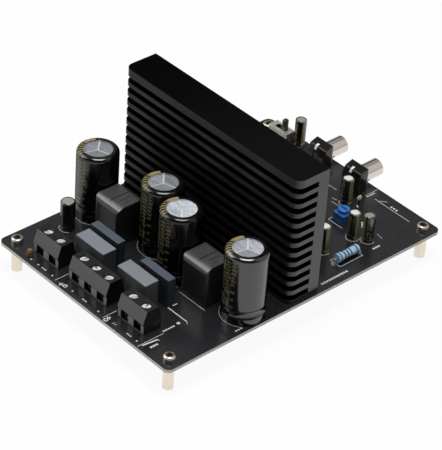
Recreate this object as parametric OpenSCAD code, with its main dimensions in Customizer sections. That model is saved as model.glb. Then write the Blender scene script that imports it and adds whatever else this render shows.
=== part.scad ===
// Two-channel audio amplifier board on four standoffs.
// Origin: middle of the four mounting holes, on the plane the standoffs stand on.
// +X runs along the screw terminals, +Y from the terminals to the input sockets, +Z is up.

/* [Board] */
// Thickness of the circuit board
board_t = 1.6; // [1.2:0.1:2.4]
// Radius of the board's corners
board_corner_r = 3; // [1:0.5:5]
// Distance of the mounting holes from the board's edges
hole_inset = 5.8; // [5:0.1:7.5]
// Depth of the input zone behind the heatsink
rear_zone = 74.4; // [70:0.2:90]
// Length of every lead and pin below the board
lead_tail = 2; // [1:0.1:3]
// Width of the solder ring round a lead
solder_ring = 0.6; // [0.4:0.1:0.7]
// Width of the solder ring at its lower end
solder_tip = 0.25; // [0.1:0.05:0.4]
// Height of a solder joint below the board
solder_h = 1; // [0.5:0.1:1.5]

/* [Standoffs and screws] */
// Height of the standoffs
standoff_h = 13; // [12.5:0.5:30]
// Depth of the standoffs' free threads from below
standoff_thread = 5; // [4:0.5:5]
// Radius of the standoffs' free threads, at their tapping size
standoff_bore_r = 1.25; // [0.8:0.05:1.4]
// Hexagon of the standoffs, across the flats
standoff_af = 4.6; // [4.4:0.1:7]
// Turn of the standoffs' hexagons, in degrees
standoff_turn = 18; // [0:1:60]
// Nominal radius of the screw threads
thread_r = 1.5; // [1:0.05:1.6]
// Radius of the screw heads
head_r = 2.7; // [2.2:0.05:3]
// Height of the screw heads
head_h = 2.3; // [1.8:0.1:3]
// Rounding of the screw heads' rim
head_round = 0.9; // [0.4:0.1:1.2]
// Length of the board screws below the head
screw_l = 7; // [5:0.5:7]
// Width of the cross recess
cross_w = 0.7; // [0.4:0.1:1]
// Length of the cross recess
cross_l = 3; // [2:0.1:3.6]
// Depth of the cross recess
cross_deep = 1.1; // [0.5:0.1:1.5]
// Metal left behind a blind thread
thread_floor = 1; // [0.5:0.1:2]
// Gap between a screw's tip and the end of its blind thread
thread_spare = 0.5; // [0.3:0.1:1]

/* [Heatsink] */
// Length of the heatsink
sink_len = 110; // [90:1:112]
// Height of the heatsink
sink_h = 63.3; // [50:0.1:80]
// Thickness of its flat back plate
plate_t = 5.8; // [4.6:0.1:8]
// Length of the fins
fin_l = 11.9; // [8:0.1:16]
// Number of fins
fin_count = 13; // [8:1:14]
// Thickness of a fin
fin_t = 2.2; // [1.6:0.1:2.6]
// Thickness of the lowest fin, which lies on the board
fin_base_t = 1.7; // [1.2:0.1:3]
// Thickness of the top fin
fin_top_t = 3.9; // [2:0.1:5]
// Radius of the fins' outer corners
fin_corner_r = 4; // [2:0.5:6]
// Shift of the heatsink from the middle of the board
sink_shift = -0.7; // [-1:0.1:1]
// Distance between the two foot screws of the heatsink
foot_spacing = 92; // [70:1:94]
// Thread depth of the foot screws in the plate
foot_thread = 7; // [5:0.5:12]

/* [Power transistors] */
// Width of a transistor
tr_w = 10; // [9:0.1:11]
// Height of its moulded body
tr_body_h = 9.2; // [8:0.1:11]
// Height of the bare metal tab above the body
tr_tab_h = 6.3; // [5.8:0.1:8]
// Thickness of the moulded body with the tab
tr_t = 4.5; // [4:0.1:5]
// Thickness of the metal tab
tr_tab_t = 1.3; // [1:0.1:1.6]
// Distance of the leads from the tab's back
tr_lead_back = 2.6; // [2.2:0.1:3]
// Pitch of the three leads
tr_lead_pitch = 2.54; // [2.2:0.02:2.8]
// Radius of the three leads
tr_lead_r = 0.45; // [0.3:0.05:0.6]
// Height of the moulded body above the board
tr_lift = 6; // [4:0.5:12]
// Distance of the tab's hole from the tab's top edge
tr_hole_drop = 2.8; // [2.7:0.1:3.2]
// Distance of the inner transistors from the heatsink's middle
tr_inner_x = 13; // [8:0.5:16]
// Distance of the outer transistors from the heatsink's middle
tr_outer_x = 34; // [30:0.5:38]
// Thickness of the insulating pads
pad_t = 0.4; // [0.2:0.1:1]
// Border of a pad round its transistor
pad_border = 1; // [0.5:0.1:2]

/* [Large capacitors] */
// Diameter of the large cans
cap_d = 18.5; // [14:0.1:22]
// Height of the large cans
cap_h = 33.9; // [25:0.1:45]
// Rounding of the can's top edge
cap_round = 1.7; // [0.6:0.1:2]
// Depth of the bare top below the rim
cap_sink = 0.5; // [0.2:0.1:1]
// Diameter of the bare top that the sleeve leaves open
cap_open_d = 13.2; // [10:0.1:14]
// Thickness of the printed sleeve
sleeve_t = 0.18; // [0.1:0.02:0.3]
// Height of the crimped groove above the board
crimp_z = 5.4; // [4:0.1:7]
// Depth of the crimped groove
crimp_deep = 0.8; // [0.2:0.1:1]
// Radius of the crimped groove
crimp_r = 3.6; // [1:0.1:5]
// Number of vent score lines
score_count = 3; // [3:1:6]
// Turn of the vent score on each large can, in degrees
cap_turn = [134, 138, 76, 138]; // [0:1:180]
// Width of the vent score lines
score_w = 0.35; // [0.2:0.05:0.6]
// Length of a vent score line from the middle
score_l = 5.8; // [3:0.1:6.4]
// Depth of the vent score lines
score_deep = 0.25; // [0.1:0.05:0.4]
// Pitch of the leads of the large cans
cap_lead_pitch = 7.5; // [5:0.5:10]
// Radius of the leads of the large cans
cap_lead_r = 0.4; // [0.3:0.05:0.6]

/* [Front row] */
// Gap between the first can and the board's left edge
row_edge = 0.2; // [0.2:0.1:3]
// Gap between the fourth can and the board's right edge
row_end = 0.6; // [0.2:0.1:3]
// Gap between the first can and the first coil
row_gap_1 = 0.5; // [0.4:0.1:3]
// Gap between the first coil and the second can
row_gap_2 = 0.85; // [0.5:0.05:3]
// Gap between the second and the third can
row_gap_3 = 0.2; // [0.2:0.1:3]
// Gap between the third can and the second coil
row_gap_4 = 0.3; // [0.3:0.1:3]
// Gap between the second coil and the fourth can
row_gap_5 = 2.15; // [0.5:0.05:4]
// Gap between the second can and the fin tips
row_fin_gap = 5.65; // [2:0.05:10]
// First can, forward of the second
stagger_1 = 6.3; // [0:0.1:8]
// Third can, forward of the second
stagger_3 = 6.3; // [0:0.1:8]
// Fourth can, forward of the second
stagger_4 = 2.8; // [0:0.1:8]

/* [Coils] */
// Width of the moulded coils
coil_w = 15.8; // [12:0.1:20]
// Depth of the moulded coils
coil_d = 15; // [12:0.1:20]
// Height of the moulded coils
coil_h = 20; // [14:0.1:26]
// Radius of the coils' upright edges
coil_corner_r = 1.6; // [1:0.1:3]
// Radius of the coils' front and back top edges
coil_top_r = 3.6; // [1:0.1:4]
// Radius of the coils' side top edges
coil_side_r = 0.5; // [0.3:0.1:2]
// Width of the parting slot in the top
coil_slot_w = 0.5; // [0.3:0.1:1]
// Length of the parting slot
coil_slot_l = 11; // [6:0.5:14]
// Depth of the parting slot
coil_slot_deep = 0.4; // [0.2:0.1:1]
// First coil, forward of the second can
coil_stagger_1 = 8.3; // [4:0.1:9]
// Second coil, forward of the second can
coil_stagger_2 = 6.3; // [4:0.1:9]
// Pitch of the coils' two pins
coil_lead_pitch = 10; // [6:0.5:12]
// Radius of the coils' pins
coil_lead_r = 0.6; // [0.4:0.05:0.8]

/* [Film capacitors] */
// Length of the film capacitors
film_l = 18.5; // [14:0.1:22]
// Width of the two thick film capacitors
film_thick_w = 7.4; // [6:0.1:9]
// Width of the two thin film capacitors
film_thin_w = 4.2; // [3.4:0.1:6]
// Height of the film capacitors
film_h = 14; // [10:0.1:18]
// Radius of their edges
film_edge_r = 0.5; // [0.3:0.1:1]
// Pitch of their leads
film_lead_pitch = 15; // [10:0.5:17]
// Radius of their leads
film_lead_r = 0.4; // [0.3:0.05:0.5]
// Gap between the thin film capacitors and the front row
film_row_gap = 5.8; // [2:0.1:10]
// Gap between the thick and the thin film capacitors
film_gap = 2.6; // [1:0.1:6]
// Place of the first thick one along the board
film_thick_x1 = -15.4; // [-20:0.1:-12]
// Place of the second thick one along the board
film_thick_x2 = 12; // [10:0.1:16]
// Place of the first thin one along the board
film_thin_x1 = -17.6; // [-22:0.1:-14]
// Place of the second thin one along the board
film_thin_x2 = 15.1; // [11:0.1:20]

/* [Screw terminals] */
// Pitch of the poles
pole_pitch = 8.2; // [7.4:0.1:10]
// Depth of a terminal block
term_d = 10; // [9.4:0.1:14]
// Height of a terminal block
term_h = 11.5; // [10.8:0.1:16]
// Height of the front step, where the sloped face starts
term_step_h = 5.5; // [5.4:0.1:7]
// Setback of the face below the step
term_step = 0.5; // [0.2:0.1:1]
// Slope of the upper front face
term_front_slope = 2.1; // [1:0.1:3]
// Slope of the upper back face
term_back_slope = 1.6; // [0.5:0.1:2]
// Height at which the back starts to slope
term_back_h = 5; // [4:0.1:8]
// Gap between the terminals and the board's front edge
term_edge = 6.6; // [2:0.1:10]
// Gap between the terminals and the film capacitors
term_film_gap = 0.4; // [0.3:0.1:4]
// Gap between the first terminal and the board's left edge
term_left = 15.9; // [13:0.1:22]
// Gap between two terminals
term_gap = 7.6; // [4:0.1:9]
// Distance of the clamp screws from the terminal's front
pole_back = 5.1; // [5:0.1:5.3]
// Width of a wire entry
entry_w = 4.6; // [4.4:0.1:5]
// Height of a wire entry
entry_h = 4.7; // [4.6:0.1:4.7]
// Height of the sill below a wire entry
entry_sill = 0.7; // [0.6:0.05:0.7]
// Wall of the metal clamp cages
cage_wall = 0.55; // [0.4:0.05:0.6]
// Thickness of the cage's threaded top
cage_top = 1.4; // [1:0.1:1.6]
// Depth of the metal clamp cages
cage_d = 5.2; // [4.6:0.1:5.4]
// Radius of the clamp screws' heads
clamp_head_r = 2; // [1.7:0.05:2.1]
// Height of the clamp screws' heads
clamp_head_h = 2.3; // [1.4:0.1:2.4]
// Lift of the clamp screws' heads above the cages
clamp_open = 1.2; // [0.4:0.1:1.6]
// Radius of the clamp screws' shanks
clamp_shank_r = 1.4; // [1:0.05:1.5]
// Reach of a clamp screw below the cage's top
clamp_tip = 0.2; // [0.1:0.05:0.3]
// Width of the driver slot
slot_w = 0.7; // [0.4:0.1:1]
// Depth of the driver slot
slot_deep = 1; // [0.5:0.1:1.2]
// Turn of the driver slot from one clamp screw to the next, in degrees
slot_turn = 50; // [0:5:90]
// Gap between a clamp screw's head and its well
well_gap = 0.35; // [0.2:0.05:0.5]
// Radius of the terminals' pins
pole_pin_r = 0.6; // [0.4:0.05:0.7]

/* [Small capacitors] */
// Diameter of the signal capacitors
small_d = 5.3; // [4:0.1:6.3]
// Height of the signal capacitors
small_h = 13.8; // [9:0.1:18]
// Diameter of the supply capacitor beside the first terminal
supply_d = 6.6; // [5:0.1:8]
// Height of the supply capacitor
supply_h = 14.5; // [10:0.1:20]
// Rounding of the small cans' top edge
small_round = 0.6; // [0.3:0.1:0.9]
// Pitch of the small cans' leads
small_lead_pitch = 2.2; // [2:0.1:2.6]
// Radius of the small cans' leads
small_lead_r = 0.28; // [0.2:0.02:0.35]
// Depth of the small cans' crimped groove, and of their sunk top
small_crimp = 0.3; // [0.1:0.05:0.4]
// Radius of the small cans' crimped groove
small_crimp_r = 1.2; // [0.8:0.1:1.6]
// Height of the small cans' crimped groove above the board
small_crimp_z = 2; // [1.8:0.1:3]
// Supply capacitor, right of the first large can
supply_shift = 1.4; // [-2:0.1:4]
// Gap between the supply capacitor and the first large can
supply_gap = 4.4; // [2:0.1:5]

/* [Input sockets] */
// Distance of the sockets from the board's middle
socket_x = 11.4; // [9:0.1:16]
// Width of a socket's moulded body
socket_w = 10.4; // [9.8:0.1:12]
// Depth of a socket's moulded body
socket_d = 5.8; // [5.4:0.1:9]
// Height of a socket's moulded body
socket_h = 14; // [13.4:0.1:16]
// Height of the socket's axis above the board
socket_axis = 8; // [7:0.1:8.4]
// Setback of the body's front from the board's rear edge
socket_edge = 8; // [4:0.1:12]
// Drop of the body's sloped top at the back
socket_drop = 1.3; // [0.5:0.1:3]
// Depth of the body's bevelled back
socket_bevel = 1.5; // [0.5:0.1:2]
// Height of the bevelled back
socket_bevel_h = 3.3; // [2:0.1:4]
// Radius of the metal shell
shell_r = 4.15; // [4:0.05:4.3]
// Wall of the metal shell
shell_wall = 0.6; // [0.4:0.05:0.8]
// Length of the metal shell in front of the body
shell_l = 11.2; // [9:0.1:14]
// Radius of the shell's flange
flange_r = 4.9; // [4.6:0.05:5]
// Thickness of the shell's flange
flange_t = 0.9; // [0.5:0.1:1.5]
// Depth of the shell's spigot in the body
spigot_l = 2.4; // [1.5:0.1:3]
// Setback of the insulator from the shell's end
insulator_set = 0.8; // [0.3:0.1:2]
// Radius of the insulator's stub at the back of the body
stub_r = 1.7; // [1.2:0.1:2.2]
// Radius of the bore for a plug's centre pin
pin_bore_r = 1.65; // [1.6:0.01:1.7]
// Depth of the bore for a plug's centre pin
pin_bore_l = 9; // [7:0.1:9.5]
// Closed end of the centre contact
contact_floor = 1; // [0.5:0.1:1.4]
// Setback of the insulator's stub from the body's back
stub_set = 0.2; // [0.1:0.1:1]
// Wall of the centre contact
contact_wall = 0.4; // [0.3:0.05:0.6]
// Pitch of the socket's two pins
socket_pin_pitch = 6; // [4:0.1:8]
// Radius of the socket's pins
socket_pin_r = 0.5; // [0.4:0.05:0.7]

/* [Slide switch] */
// Length of the switch
switch_l = 12; // [10:0.1:13]
// Width of the switch
switch_w = 5.4; // [4.6:0.1:7]
// Height of the switch's metal frame
switch_h = 5.5; // [5:0.1:7]
// Gap between the switch's solder and the standoff beside it
switch_gap = 0.5; // [0.4:0.1:2]
// Distance of the switch's middle from the board's rear edge
switch_edge = 7; // [5:0.1:10]
// Thickness of the frame's sheet
sheet_t = 0.4; // [0.3:0.05:0.6]
// Height of the switch's moulded base
switch_base_h = 2.2; // [1.6:0.1:2.6]
// Gap below the long walls of the frame
switch_lip = 0.8; // [0.4:0.1:1.4]
// Length of the slider inside the frame
slider_l = 6.4; // [5:0.1:7]
// Travel of the slider
slider_travel = 4; // [2:0.1:4]
// Length of the lever along the travel
lever_l = 2.2; // [1.6:0.1:3]
// Width of the lever across the travel
lever_w = 2.4; // [1.6:0.1:3]
// Height of the lever above the frame
lever_h = 5.5; // [3:0.1:8]
// Pitch of the switch's pins
switch_pin_pitch = 3; // [2.5:0.1:4]
// Radius of the switch's pins
switch_pin_r = 0.4; // [0.3:0.05:0.5]
// Width of the frame's board tabs
switch_tab_w = 1.4; // [1:0.1:1.8]

/* [Trimmer] */
// Width of the trimmer
trim_w = 6.6; // [6:0.1:8]
// Depth of the trimmer
trim_d = 7; // [6:0.1:8]
// Height of the trimmer
trim_h = 4.8; // [4:0.1:6]
// Radius of the trimmer's rotor
rotor_r = 2.7; // [2:0.05:2.7]
// Height of the rotor above the body
rotor_lift = 1.8; // [0.2:0.1:2.4]
// Depth of the rotor's seat
rotor_seat = 1.6; // [1:0.1:2.4]
// Width of the rotor's slot
rotor_slot_w = 0.8; // [0.5:0.1:1.1]
// Length of the rotor's slot
rotor_slot_l = 3.8; // [2.5:0.1:4.6]
// Depth of the rotor's slot
rotor_slot_deep = 0.9; // [0.4:0.1:1.2]
// Pitch of the trimmer's pins
trim_pin_pitch = 2.54; // [2:0.02:2.7]

/* [Input parts] */
// Length of the resistor
resistor_l = 12; // [9:0.1:14]
// Radius of the resistor's end caps
resistor_r = 2.15; // [1.6:0.05:2.6]
// Depth of the waist between the end caps
resistor_waist = 0.25; // [0.1:0.05:0.4]
// Length of the resistor's end caps
resistor_end = 2.4; // [1.5:0.1:3]
// Straight length of the lead beyond the end caps
resistor_reach = 1.4; // [1:0.1:3]
// Radius of the resistor's leads
resistor_lead_r = 0.35; // [0.25:0.05:0.45]
// Gap between the resistor and the board
resistor_gap = 0.2; // [0.1:0.05:0.5]
// Radius of the dipped ceramic capacitor
disc_r = 1.7; // [1.6:0.1:3]
// Thickness of the dipped ceramic capacitor
disc_t = 1.9; // [1.6:0.1:3]
// Gap between the dipped capacitor and the board
disc_gap = 0.2; // [0.1:0.05:0.8]
// Pitch of its leads
disc_lead_pitch = 2.5; // [2:0.1:3.5]
// Radius of the indicator lamp
lamp_r = 1.5; // [1.2:0.1:2]
// Height of the lamp's straight wall
lamp_wall = 0.9; // [0.8:0.1:4]
// Radius of the lamp's flange
lamp_flange_r = 1.8; // [1.6:0.1:2.2]
// Thickness of the lamp's flange
lamp_flange_t = 0.6; // [0.5:0.1:1.2]
// Pitch of the lamp's leads
lamp_lead_pitch = 2.2; // [2:0.1:2.4]
// Radius of thin leads, on lamp, trimmer and dipped capacitor
thin_lead_r = 0.25; // [0.2:0.05:0.35]

/* [Driver chips] */
// Length of a driver chip
chip_l = 9.9; // [8:0.1:11]
// Width of a driver chip's body
chip_w = 3.9; // [3.5:0.1:5]
// Thickness of a driver chip's body
chip_t = 1.45; // [1.2:0.05:1.8]
// Lift of the chip's body above the board
chip_lift = 0.15; // [0.1:0.05:0.3]
// Leads on each side of a chip
chip_leads = 8; // [4:1:8]
// Pitch of the chip's leads
chip_pitch = 1.27; // [1:0.01:1.3]
// Width of a chip's lead
chip_lead_w = 0.42; // [0.3:0.02:0.5]
// Thickness of a chip's lead
chip_lead_t = 0.2; // [0.15:0.05:0.3]
// Reach of a chip's lead beyond the body
chip_reach = 1.05; // [0.8:0.05:1.3]
// Length of the flat foot of a chip's lead
chip_foot = 0.5; // [0.3:0.05:0.6]
// Sideways run of the slope between a chip lead's shoulder and its foot
chip_slope = 0.15; // [0.1:0.05:0.2]

/* [Chip parts] */
// Length of a chip part
part_l = 3.2; // [2:0.1:3.6]
// Width of a chip part
part_w = 1.6; // [1:0.1:2]
// Thickness of a chip part's body
part_t = 0.6; // [0.4:0.05:1]
// Length of a chip part's metal ends
part_end = 0.5; // [0.3:0.05:0.8]
// Thickness of the metal on a chip part's ends
part_plate = 0.05; // [0.02:0.01:0.1]
// Chip parts in a row beside a driver chip
part_count = 5; // [2:1:6]
// Pitch of the chip parts in a row
part_pitch = 3.6; // [2.4:0.1:4]
// Distance of the rows from a driver chip's middle
part_row = 7; // [6:0.1:9]
// Chip parts beside a transistor, from its middle
part_beside = 4; // [2.5:0.1:6]
// Chip parts behind a transistor, from the heatsink's back
part_behind = 12.5; // [9:0.1:16]

/* [Rear places] */
// Gap between the slide switch and the capacitor beside it
small_gap_1 = 0.4; // [0.3:0.1:2]
// First small capacitor, from the rear edge
small_back_1 = 4; // [3.4:0.1:8]
// Second small capacitor: right of the middle, and from the rear edge
small_place_2 = [15.5, 19.5]; // [0:0.1:60]
// Third small capacitor: right of the middle, and from the rear edge
small_place_3 = [36, 35.5]; // [0:0.1:60]
// Fourth small capacitor: right of the middle, and from the rear edge
small_place_4 = [41.5, 31.7]; // [0:0.1:60]
// Fifth small capacitor: right of the middle, and from the rear edge
small_place_5 = [35.3, 52.9]; // [0:0.1:60]
// Trimmer: right of the middle, and from the rear edge
trim_place = [24.2, 29.8]; // [0:0.1:60]
// Resistor: right of the middle, and from the rear edge
resistor_place = [45.2, 48.1]; // [0:0.1:60]
// Dipped capacitor: right of the middle, and from the rear edge
disc_place = [18.6, 14.2]; // [0:0.1:60]
// First driver chip: right of the middle, and from the rear edge
chip_place_1 = [-22, 44]; // [-40:0.1:60]
// Second driver chip: right of the middle, and from the rear edge
chip_place_2 = [8, 44]; // [-40:0.1:60]
// Indicator lamp: from the first terminal's left end, and from the front edge
lamp_place = [0.6, 4.5]; // [0:0.1:5]

/* [Clearances] */
// Radius of the edges of small mouldings
edge_r = 0.4; // [0.2:0.1:0.6]
// Gap round leads in their holes
hole_gap = 0.15; // [0.05:0.01:0.25]
// Gap of a screw in its thread
thread_gap = 0.05; // [0.02:0.01:0.1]
// Gap of pieces that are fitted into each other
fit_gap = 0.05; // [0.02:0.01:0.1]
// Gap of sliding and turning pieces
run_gap = 0.1; // [0.05:0.01:0.2]

/* [Hidden] */
$fn = 48;
// Small overlap that lets cuts break through and parts of one piece join
bite = 0.5;

// Heights
under_z = standoff_h;
top_z = standoff_h + board_t;
tail_z = under_z - lead_tail;

// Front row, from the left edge of the board to the right
cap_r = cap_d / 2;
full_turn = 360;
sleeve_r = cap_r + fit_gap + sleeve_t;
row_w = 8 * sleeve_r + 2 * coil_w + row_gap_1 + row_gap_2 + row_gap_3 + row_gap_4 + row_gap_5;
board_w = row_w + row_edge + row_end;
cap_x1 = -board_w / 2 + row_edge + sleeve_r;
coil_x1 = cap_x1 + sleeve_r + row_gap_1 + coil_w / 2;
cap_x2 = coil_x1 + coil_w / 2 + row_gap_2 + sleeve_r;
cap_x3 = cap_x2 + 2 * sleeve_r + row_gap_3;
coil_x2 = cap_x3 + sleeve_r + row_gap_4 + coil_w / 2;
cap_x4 = coil_x2 + coil_w / 2 + row_gap_5 + sleeve_r;

// Depths, from the fin tips to the front edge of the board
row_reach = max(max(stagger_1, stagger_3) + sleeve_r, coil_stagger_1 + coil_d / 2);
row_zone = row_fin_gap + sleeve_r + row_reach;
film_zone = film_row_gap + film_thin_w + film_gap + film_thick_w;
front_zone = row_zone + film_zone + term_film_gap + term_d + term_edge;
sink_d = fin_l + plate_t;
board_d = front_zone + sink_d + rear_zone;
front_y = -board_d / 2;
rear_y = board_d / 2;
fin_tip_y = front_y + front_zone;
plate_y = fin_tip_y + fin_l;
back_y = plate_y + plate_t;
cap_y2 = fin_tip_y - row_fin_gap - sleeve_r;
film_thin_y = fin_tip_y - row_zone - film_row_gap - film_thin_w / 2;
film_thick_y = film_thin_y - film_thin_w / 2 - film_gap - film_thick_w / 2;
term_y = front_y + term_edge;
pole_y = term_y + pole_back;

// Places of the front parts
cap_at = [
    [cap_x1, cap_y2 - stagger_1],
    [cap_x2, cap_y2],
    [cap_x3, cap_y2 - stagger_3],
    [cap_x4, cap_y2 - stagger_4]
];
coil_at = [[coil_x1, cap_y2 - coil_stagger_1], [coil_x2, cap_y2 - coil_stagger_2]];
film_at = [
    [film_thick_x1, film_thick_y, film_thick_w],
    [film_thin_x1, film_thin_y, film_thin_w],
    [film_thick_x2, film_thick_y, film_thick_w],
    [film_thin_x2, film_thin_y, film_thin_w]
];
supply_at = [cap_x1 + supply_shift, cap_at[0][1] - sleeve_r - supply_gap - supply_d / 2];

// Terminals: poles of each block, and each block's left end
block_poles = [2, 3, 2];
function poles_before(b) = b == 0 ? 0 : block_poles[b - 1] + poles_before(b - 1);
function block_x(b) = -board_w / 2 + term_left + poles_before(b) * pole_pitch + b * term_gap;
pole_at = [
    for (b = [0 : len(block_poles) - 1], i = [0 : block_poles[b] - 1])
        [block_x(b) + (i + 0.5) * pole_pitch, pole_y]
];
entry_top = entry_sill + entry_h;
cage_top_z = entry_top + cage_top;
cage_w = entry_w + 2 * cage_wall;
clamp_head_z = cage_top_z + clamp_open;

// Places of the rear parts, by their distance from the rear edge
hole_x = board_w / 2 - hole_inset;
hole_y = board_d / 2 - hole_inset;
corner_signs = [[-1, -1], [1, -1], [1, 1], [-1, 1]];
standoff_r = standoff_af / (2 * cos(30));
switch_x = -hole_x + max(standoff_r, head_r) + solder_ring + switch_gap + switch_l / 2;
switch_y = rear_y - switch_edge;
function from_rear(place) = [place[0], rear_y - place[1]];
small_at = [
    [switch_x + switch_l / 2 + small_gap_1 + small_d / 2, rear_y - small_back_1],
    from_rear(small_place_2),
    from_rear(small_place_3),
    from_rear(small_place_4),
    from_rear(small_place_5)
];
trim_at = from_rear(trim_place);
resistor_at = from_rear(resistor_place);
disc_at = from_rear(disc_place);
chip_at = [from_rear(chip_place_1), from_rear(chip_place_2)];
lamp_at = [block_x(0) + lamp_place[0], front_y + lamp_place[1]];
socket_y = rear_y - socket_edge;
socket_at = [[-socket_x, socket_y], [socket_x, socket_y]];
tr_x = [for (x = [-tr_outer_x, -tr_inner_x, tr_inner_x, tr_outer_x]) x + sink_shift];
tr_y = back_y + pad_t;
tr_hole_z = top_z + tr_lift + tr_body_h + tr_tab_h - tr_hole_drop;
part_at = concat(
    [
        for (p = chip_at, s = [-1, 1], i = [0 : part_count - 1])
            p + [(i - (part_count - 1) / 2) * part_pitch, s * part_row]
    ],
    [for (x = tr_x, s = [-1, 1]) [x + s * part_beside, back_y + part_behind]]
);
foot_at = [for (s = [-1, 1]) [sink_shift + s * foot_spacing / 2, plate_y + plate_t / 2]];

// Fits inside the sockets and the switch
shell_bore = shell_r - shell_wall;
spigot_r = shell_bore + shell_wall / 2;
insulator_end = shell_l - insulator_set;
contact_r = pin_bore_r + contact_wall;
contact_start = insulator_end - pin_bore_l - contact_floor;
switch_in_l = switch_l - 2 * sheet_t;
switch_in_w = switch_w - 2 * sheet_t;
switch_tab_r = norm([switch_tab_w, sheet_t]) / 2;

// Leads: each is [x, y, radius]
function pair_x(p, pitch, r) = [for (s = [-0.5, 0.5]) [p[0] + s * pitch, p[1], r]];
function pair_y(p, pitch, r) = [for (s = [-0.5, 0.5]) [p[0], p[1] + s * pitch, r]];
function triple_x(p, pitch, r) = [for (s = [-1, 0, 1]) [p[0] + s * pitch, p[1], r]];
function cap_leads(i) = pair_x(cap_at[i], cap_lead_pitch, cap_lead_r);
function coil_leads(i) = pair_x(coil_at[i], coil_lead_pitch, coil_lead_r);
function film_leads(i) = pair_x(film_at[i], film_lead_pitch, film_lead_r);
function small_leads(i) = pair_x(small_at[i], small_lead_pitch, small_lead_r);
function socket_leads(i) = pair_x(socket_at[i] - [0, socket_d / 2], socket_pin_pitch, socket_pin_r);
function transistor_leads(i) = triple_x([tr_x[i], tr_y + tr_lead_back], tr_lead_pitch, tr_lead_r);
supply_leads = pair_x(supply_at, small_lead_pitch, small_lead_r);
pole_leads = [for (p = pole_at) [p[0], p[1], pole_pin_r]];
switch_leads = triple_x([switch_x, switch_y], switch_pin_pitch, switch_pin_r);
switch_tabs = pair_x([switch_x, switch_y], switch_l - sheet_t, switch_tab_r);
trim_leads = triple_x(trim_at, trim_pin_pitch, thin_lead_r);
resistor_leads = pair_y(resistor_at, resistor_l + 2 * resistor_reach, resistor_lead_r);
disc_leads = pair_y(disc_at, disc_lead_pitch, thin_lead_r);
lamp_leads = pair_x(lamp_at, lamp_lead_pitch, thin_lead_r);
all_leads = concat(
    [for (i = [0 : 3]) each cap_leads(i)],
    [for (i = [0 : 1]) each coil_leads(i)],
    [for (i = [0 : 3]) each film_leads(i)],
    [for (i = [0 : 4]) each small_leads(i)],
    [for (i = [0 : 1]) each socket_leads(i)],
    [for (i = [0 : 3]) each transistor_leads(i)],
    supply_leads, pole_leads, switch_leads, switch_tabs, trim_leads, resistor_leads, disc_leads, lamp_leads
);

// Rectangle with round corners, centred
module round_rect(w, d, r) {
    square([w - 2 * r, d], center = true);
    square([w, d - 2 * r], center = true);
    for (s = corner_signs)
        translate([s[0] * (w / 2 - r), s[1] * (d / 2 - r)]) circle(r);
}

// Upright rectangle that stands on the axis, with its two upper corners rounded
module arch(w, h, r) {
    translate([-w / 2, 0]) square([w, h - r]);
    translate([r - w / 2, 0]) square([w - 2 * r, h]);
    for (s = [-1, 1])
        translate([s * (w / 2 - r), h - r]) circle(r);
}

// Moulded block with rounded upright edges and rounded top edges, at its sides and at its front and back
module moulded_block(w, d, h, corner, side, front) {
    intersection() {
        linear_extrude(h) round_rect(w, d, corner);
        rotate([90, 0, 0]) linear_extrude(d, center = true) arch(w, h, side);
        rotate([90, 0, 90]) linear_extrude(w, center = true) arch(d, h, front);
    }
}

// Half outline of a disc whose upper rim is rounded
module rimmed_half(r, h, round) {
    square([r, h - round]);
    square([r - round, h]);
    translate([r - round, h - round]) circle(round);
}

// Round leads from a height above the board down through it
module leads(list, from_z) {
    for (p = list)
        translate([p[0], p[1], tail_z]) cylinder(r = p[2], h = from_z - tail_z);
}

// Pan-head screw with a cross recess, its head on the plane z = 0 and its shank below
module pan_screw(shank) {
    difference() {
        union() {
            rotate_extrude() rimmed_half(head_r, head_h, head_round);
            translate([0, 0, -shank]) cylinder(r = thread_r, h = shank + bite);
        }
        for (a = [0, 90])
            rotate(a) translate([-cross_l / 2, -cross_w / 2, head_h - cross_deep])
                cube([cross_l, cross_w, cross_deep + bite]);
    }
}

module board() {
    color("#1b1c20") translate([0, 0, under_z]) linear_extrude(board_t) difference() {
        round_rect(board_w, board_d, board_corner_r);
        for (s = corner_signs)
            translate([s[0] * hole_x, s[1] * hole_y]) circle(thread_r + hole_gap);
        for (p = foot_at)
            translate(p) circle(thread_r + hole_gap);
        for (p = all_leads)
            translate([p[0], p[1]]) circle(p[2] + hole_gap);
    }
}

module standoffs() {
    color("#d8d2c4") for (s = corner_signs)
        translate([s[0] * hole_x, s[1] * hole_y, 0]) difference() {
            rotate(standoff_turn) cylinder(r = standoff_r, h = standoff_h, $fn = 6);
            translate([0, 0, -bite]) cylinder(r = standoff_bore_r, h = standoff_thread + bite);
            translate([0, 0, top_z - screw_l - thread_spare])
                cylinder(r = thread_r + thread_gap, h = screw_l + thread_spare);
        }
}

module board_screws() {
    color("#c9c2b2") for (s = corner_signs)
        translate([s[0] * hole_x, s[1] * hole_y, top_z]) pan_screw(screw_l);
}

// Fins and plate, drawn from the plate's back at 0 towards the fin tips
module fin_section() {
    fin_gap = (sink_h - fin_base_t - fin_top_t - (fin_count - 2) * fin_t) / (fin_count - 1);
    square([plate_t, sink_h]);
    square([sink_d, fin_base_t]);
    translate([0, sink_h - fin_top_t]) square([sink_d, fin_top_t]);
    for (i = [1 : fin_count - 2])
        translate([0, fin_base_t + fin_gap + (i - 1) * (fin_t + fin_gap)]) square([sink_d, fin_t]);
}

// Plan of the heatsink: square at the plate, round at the fin tips
module fin_plan() {
    translate([-sink_len / 2, 0]) square([sink_len, sink_d - fin_corner_r]);
    translate([fin_corner_r - sink_len / 2, 0]) square([sink_len - 2 * fin_corner_r, sink_d]);
    for (s = [-1, 1])
        translate([s * (sink_len / 2 - fin_corner_r), sink_d - fin_corner_r]) circle(fin_corner_r);
}

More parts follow.
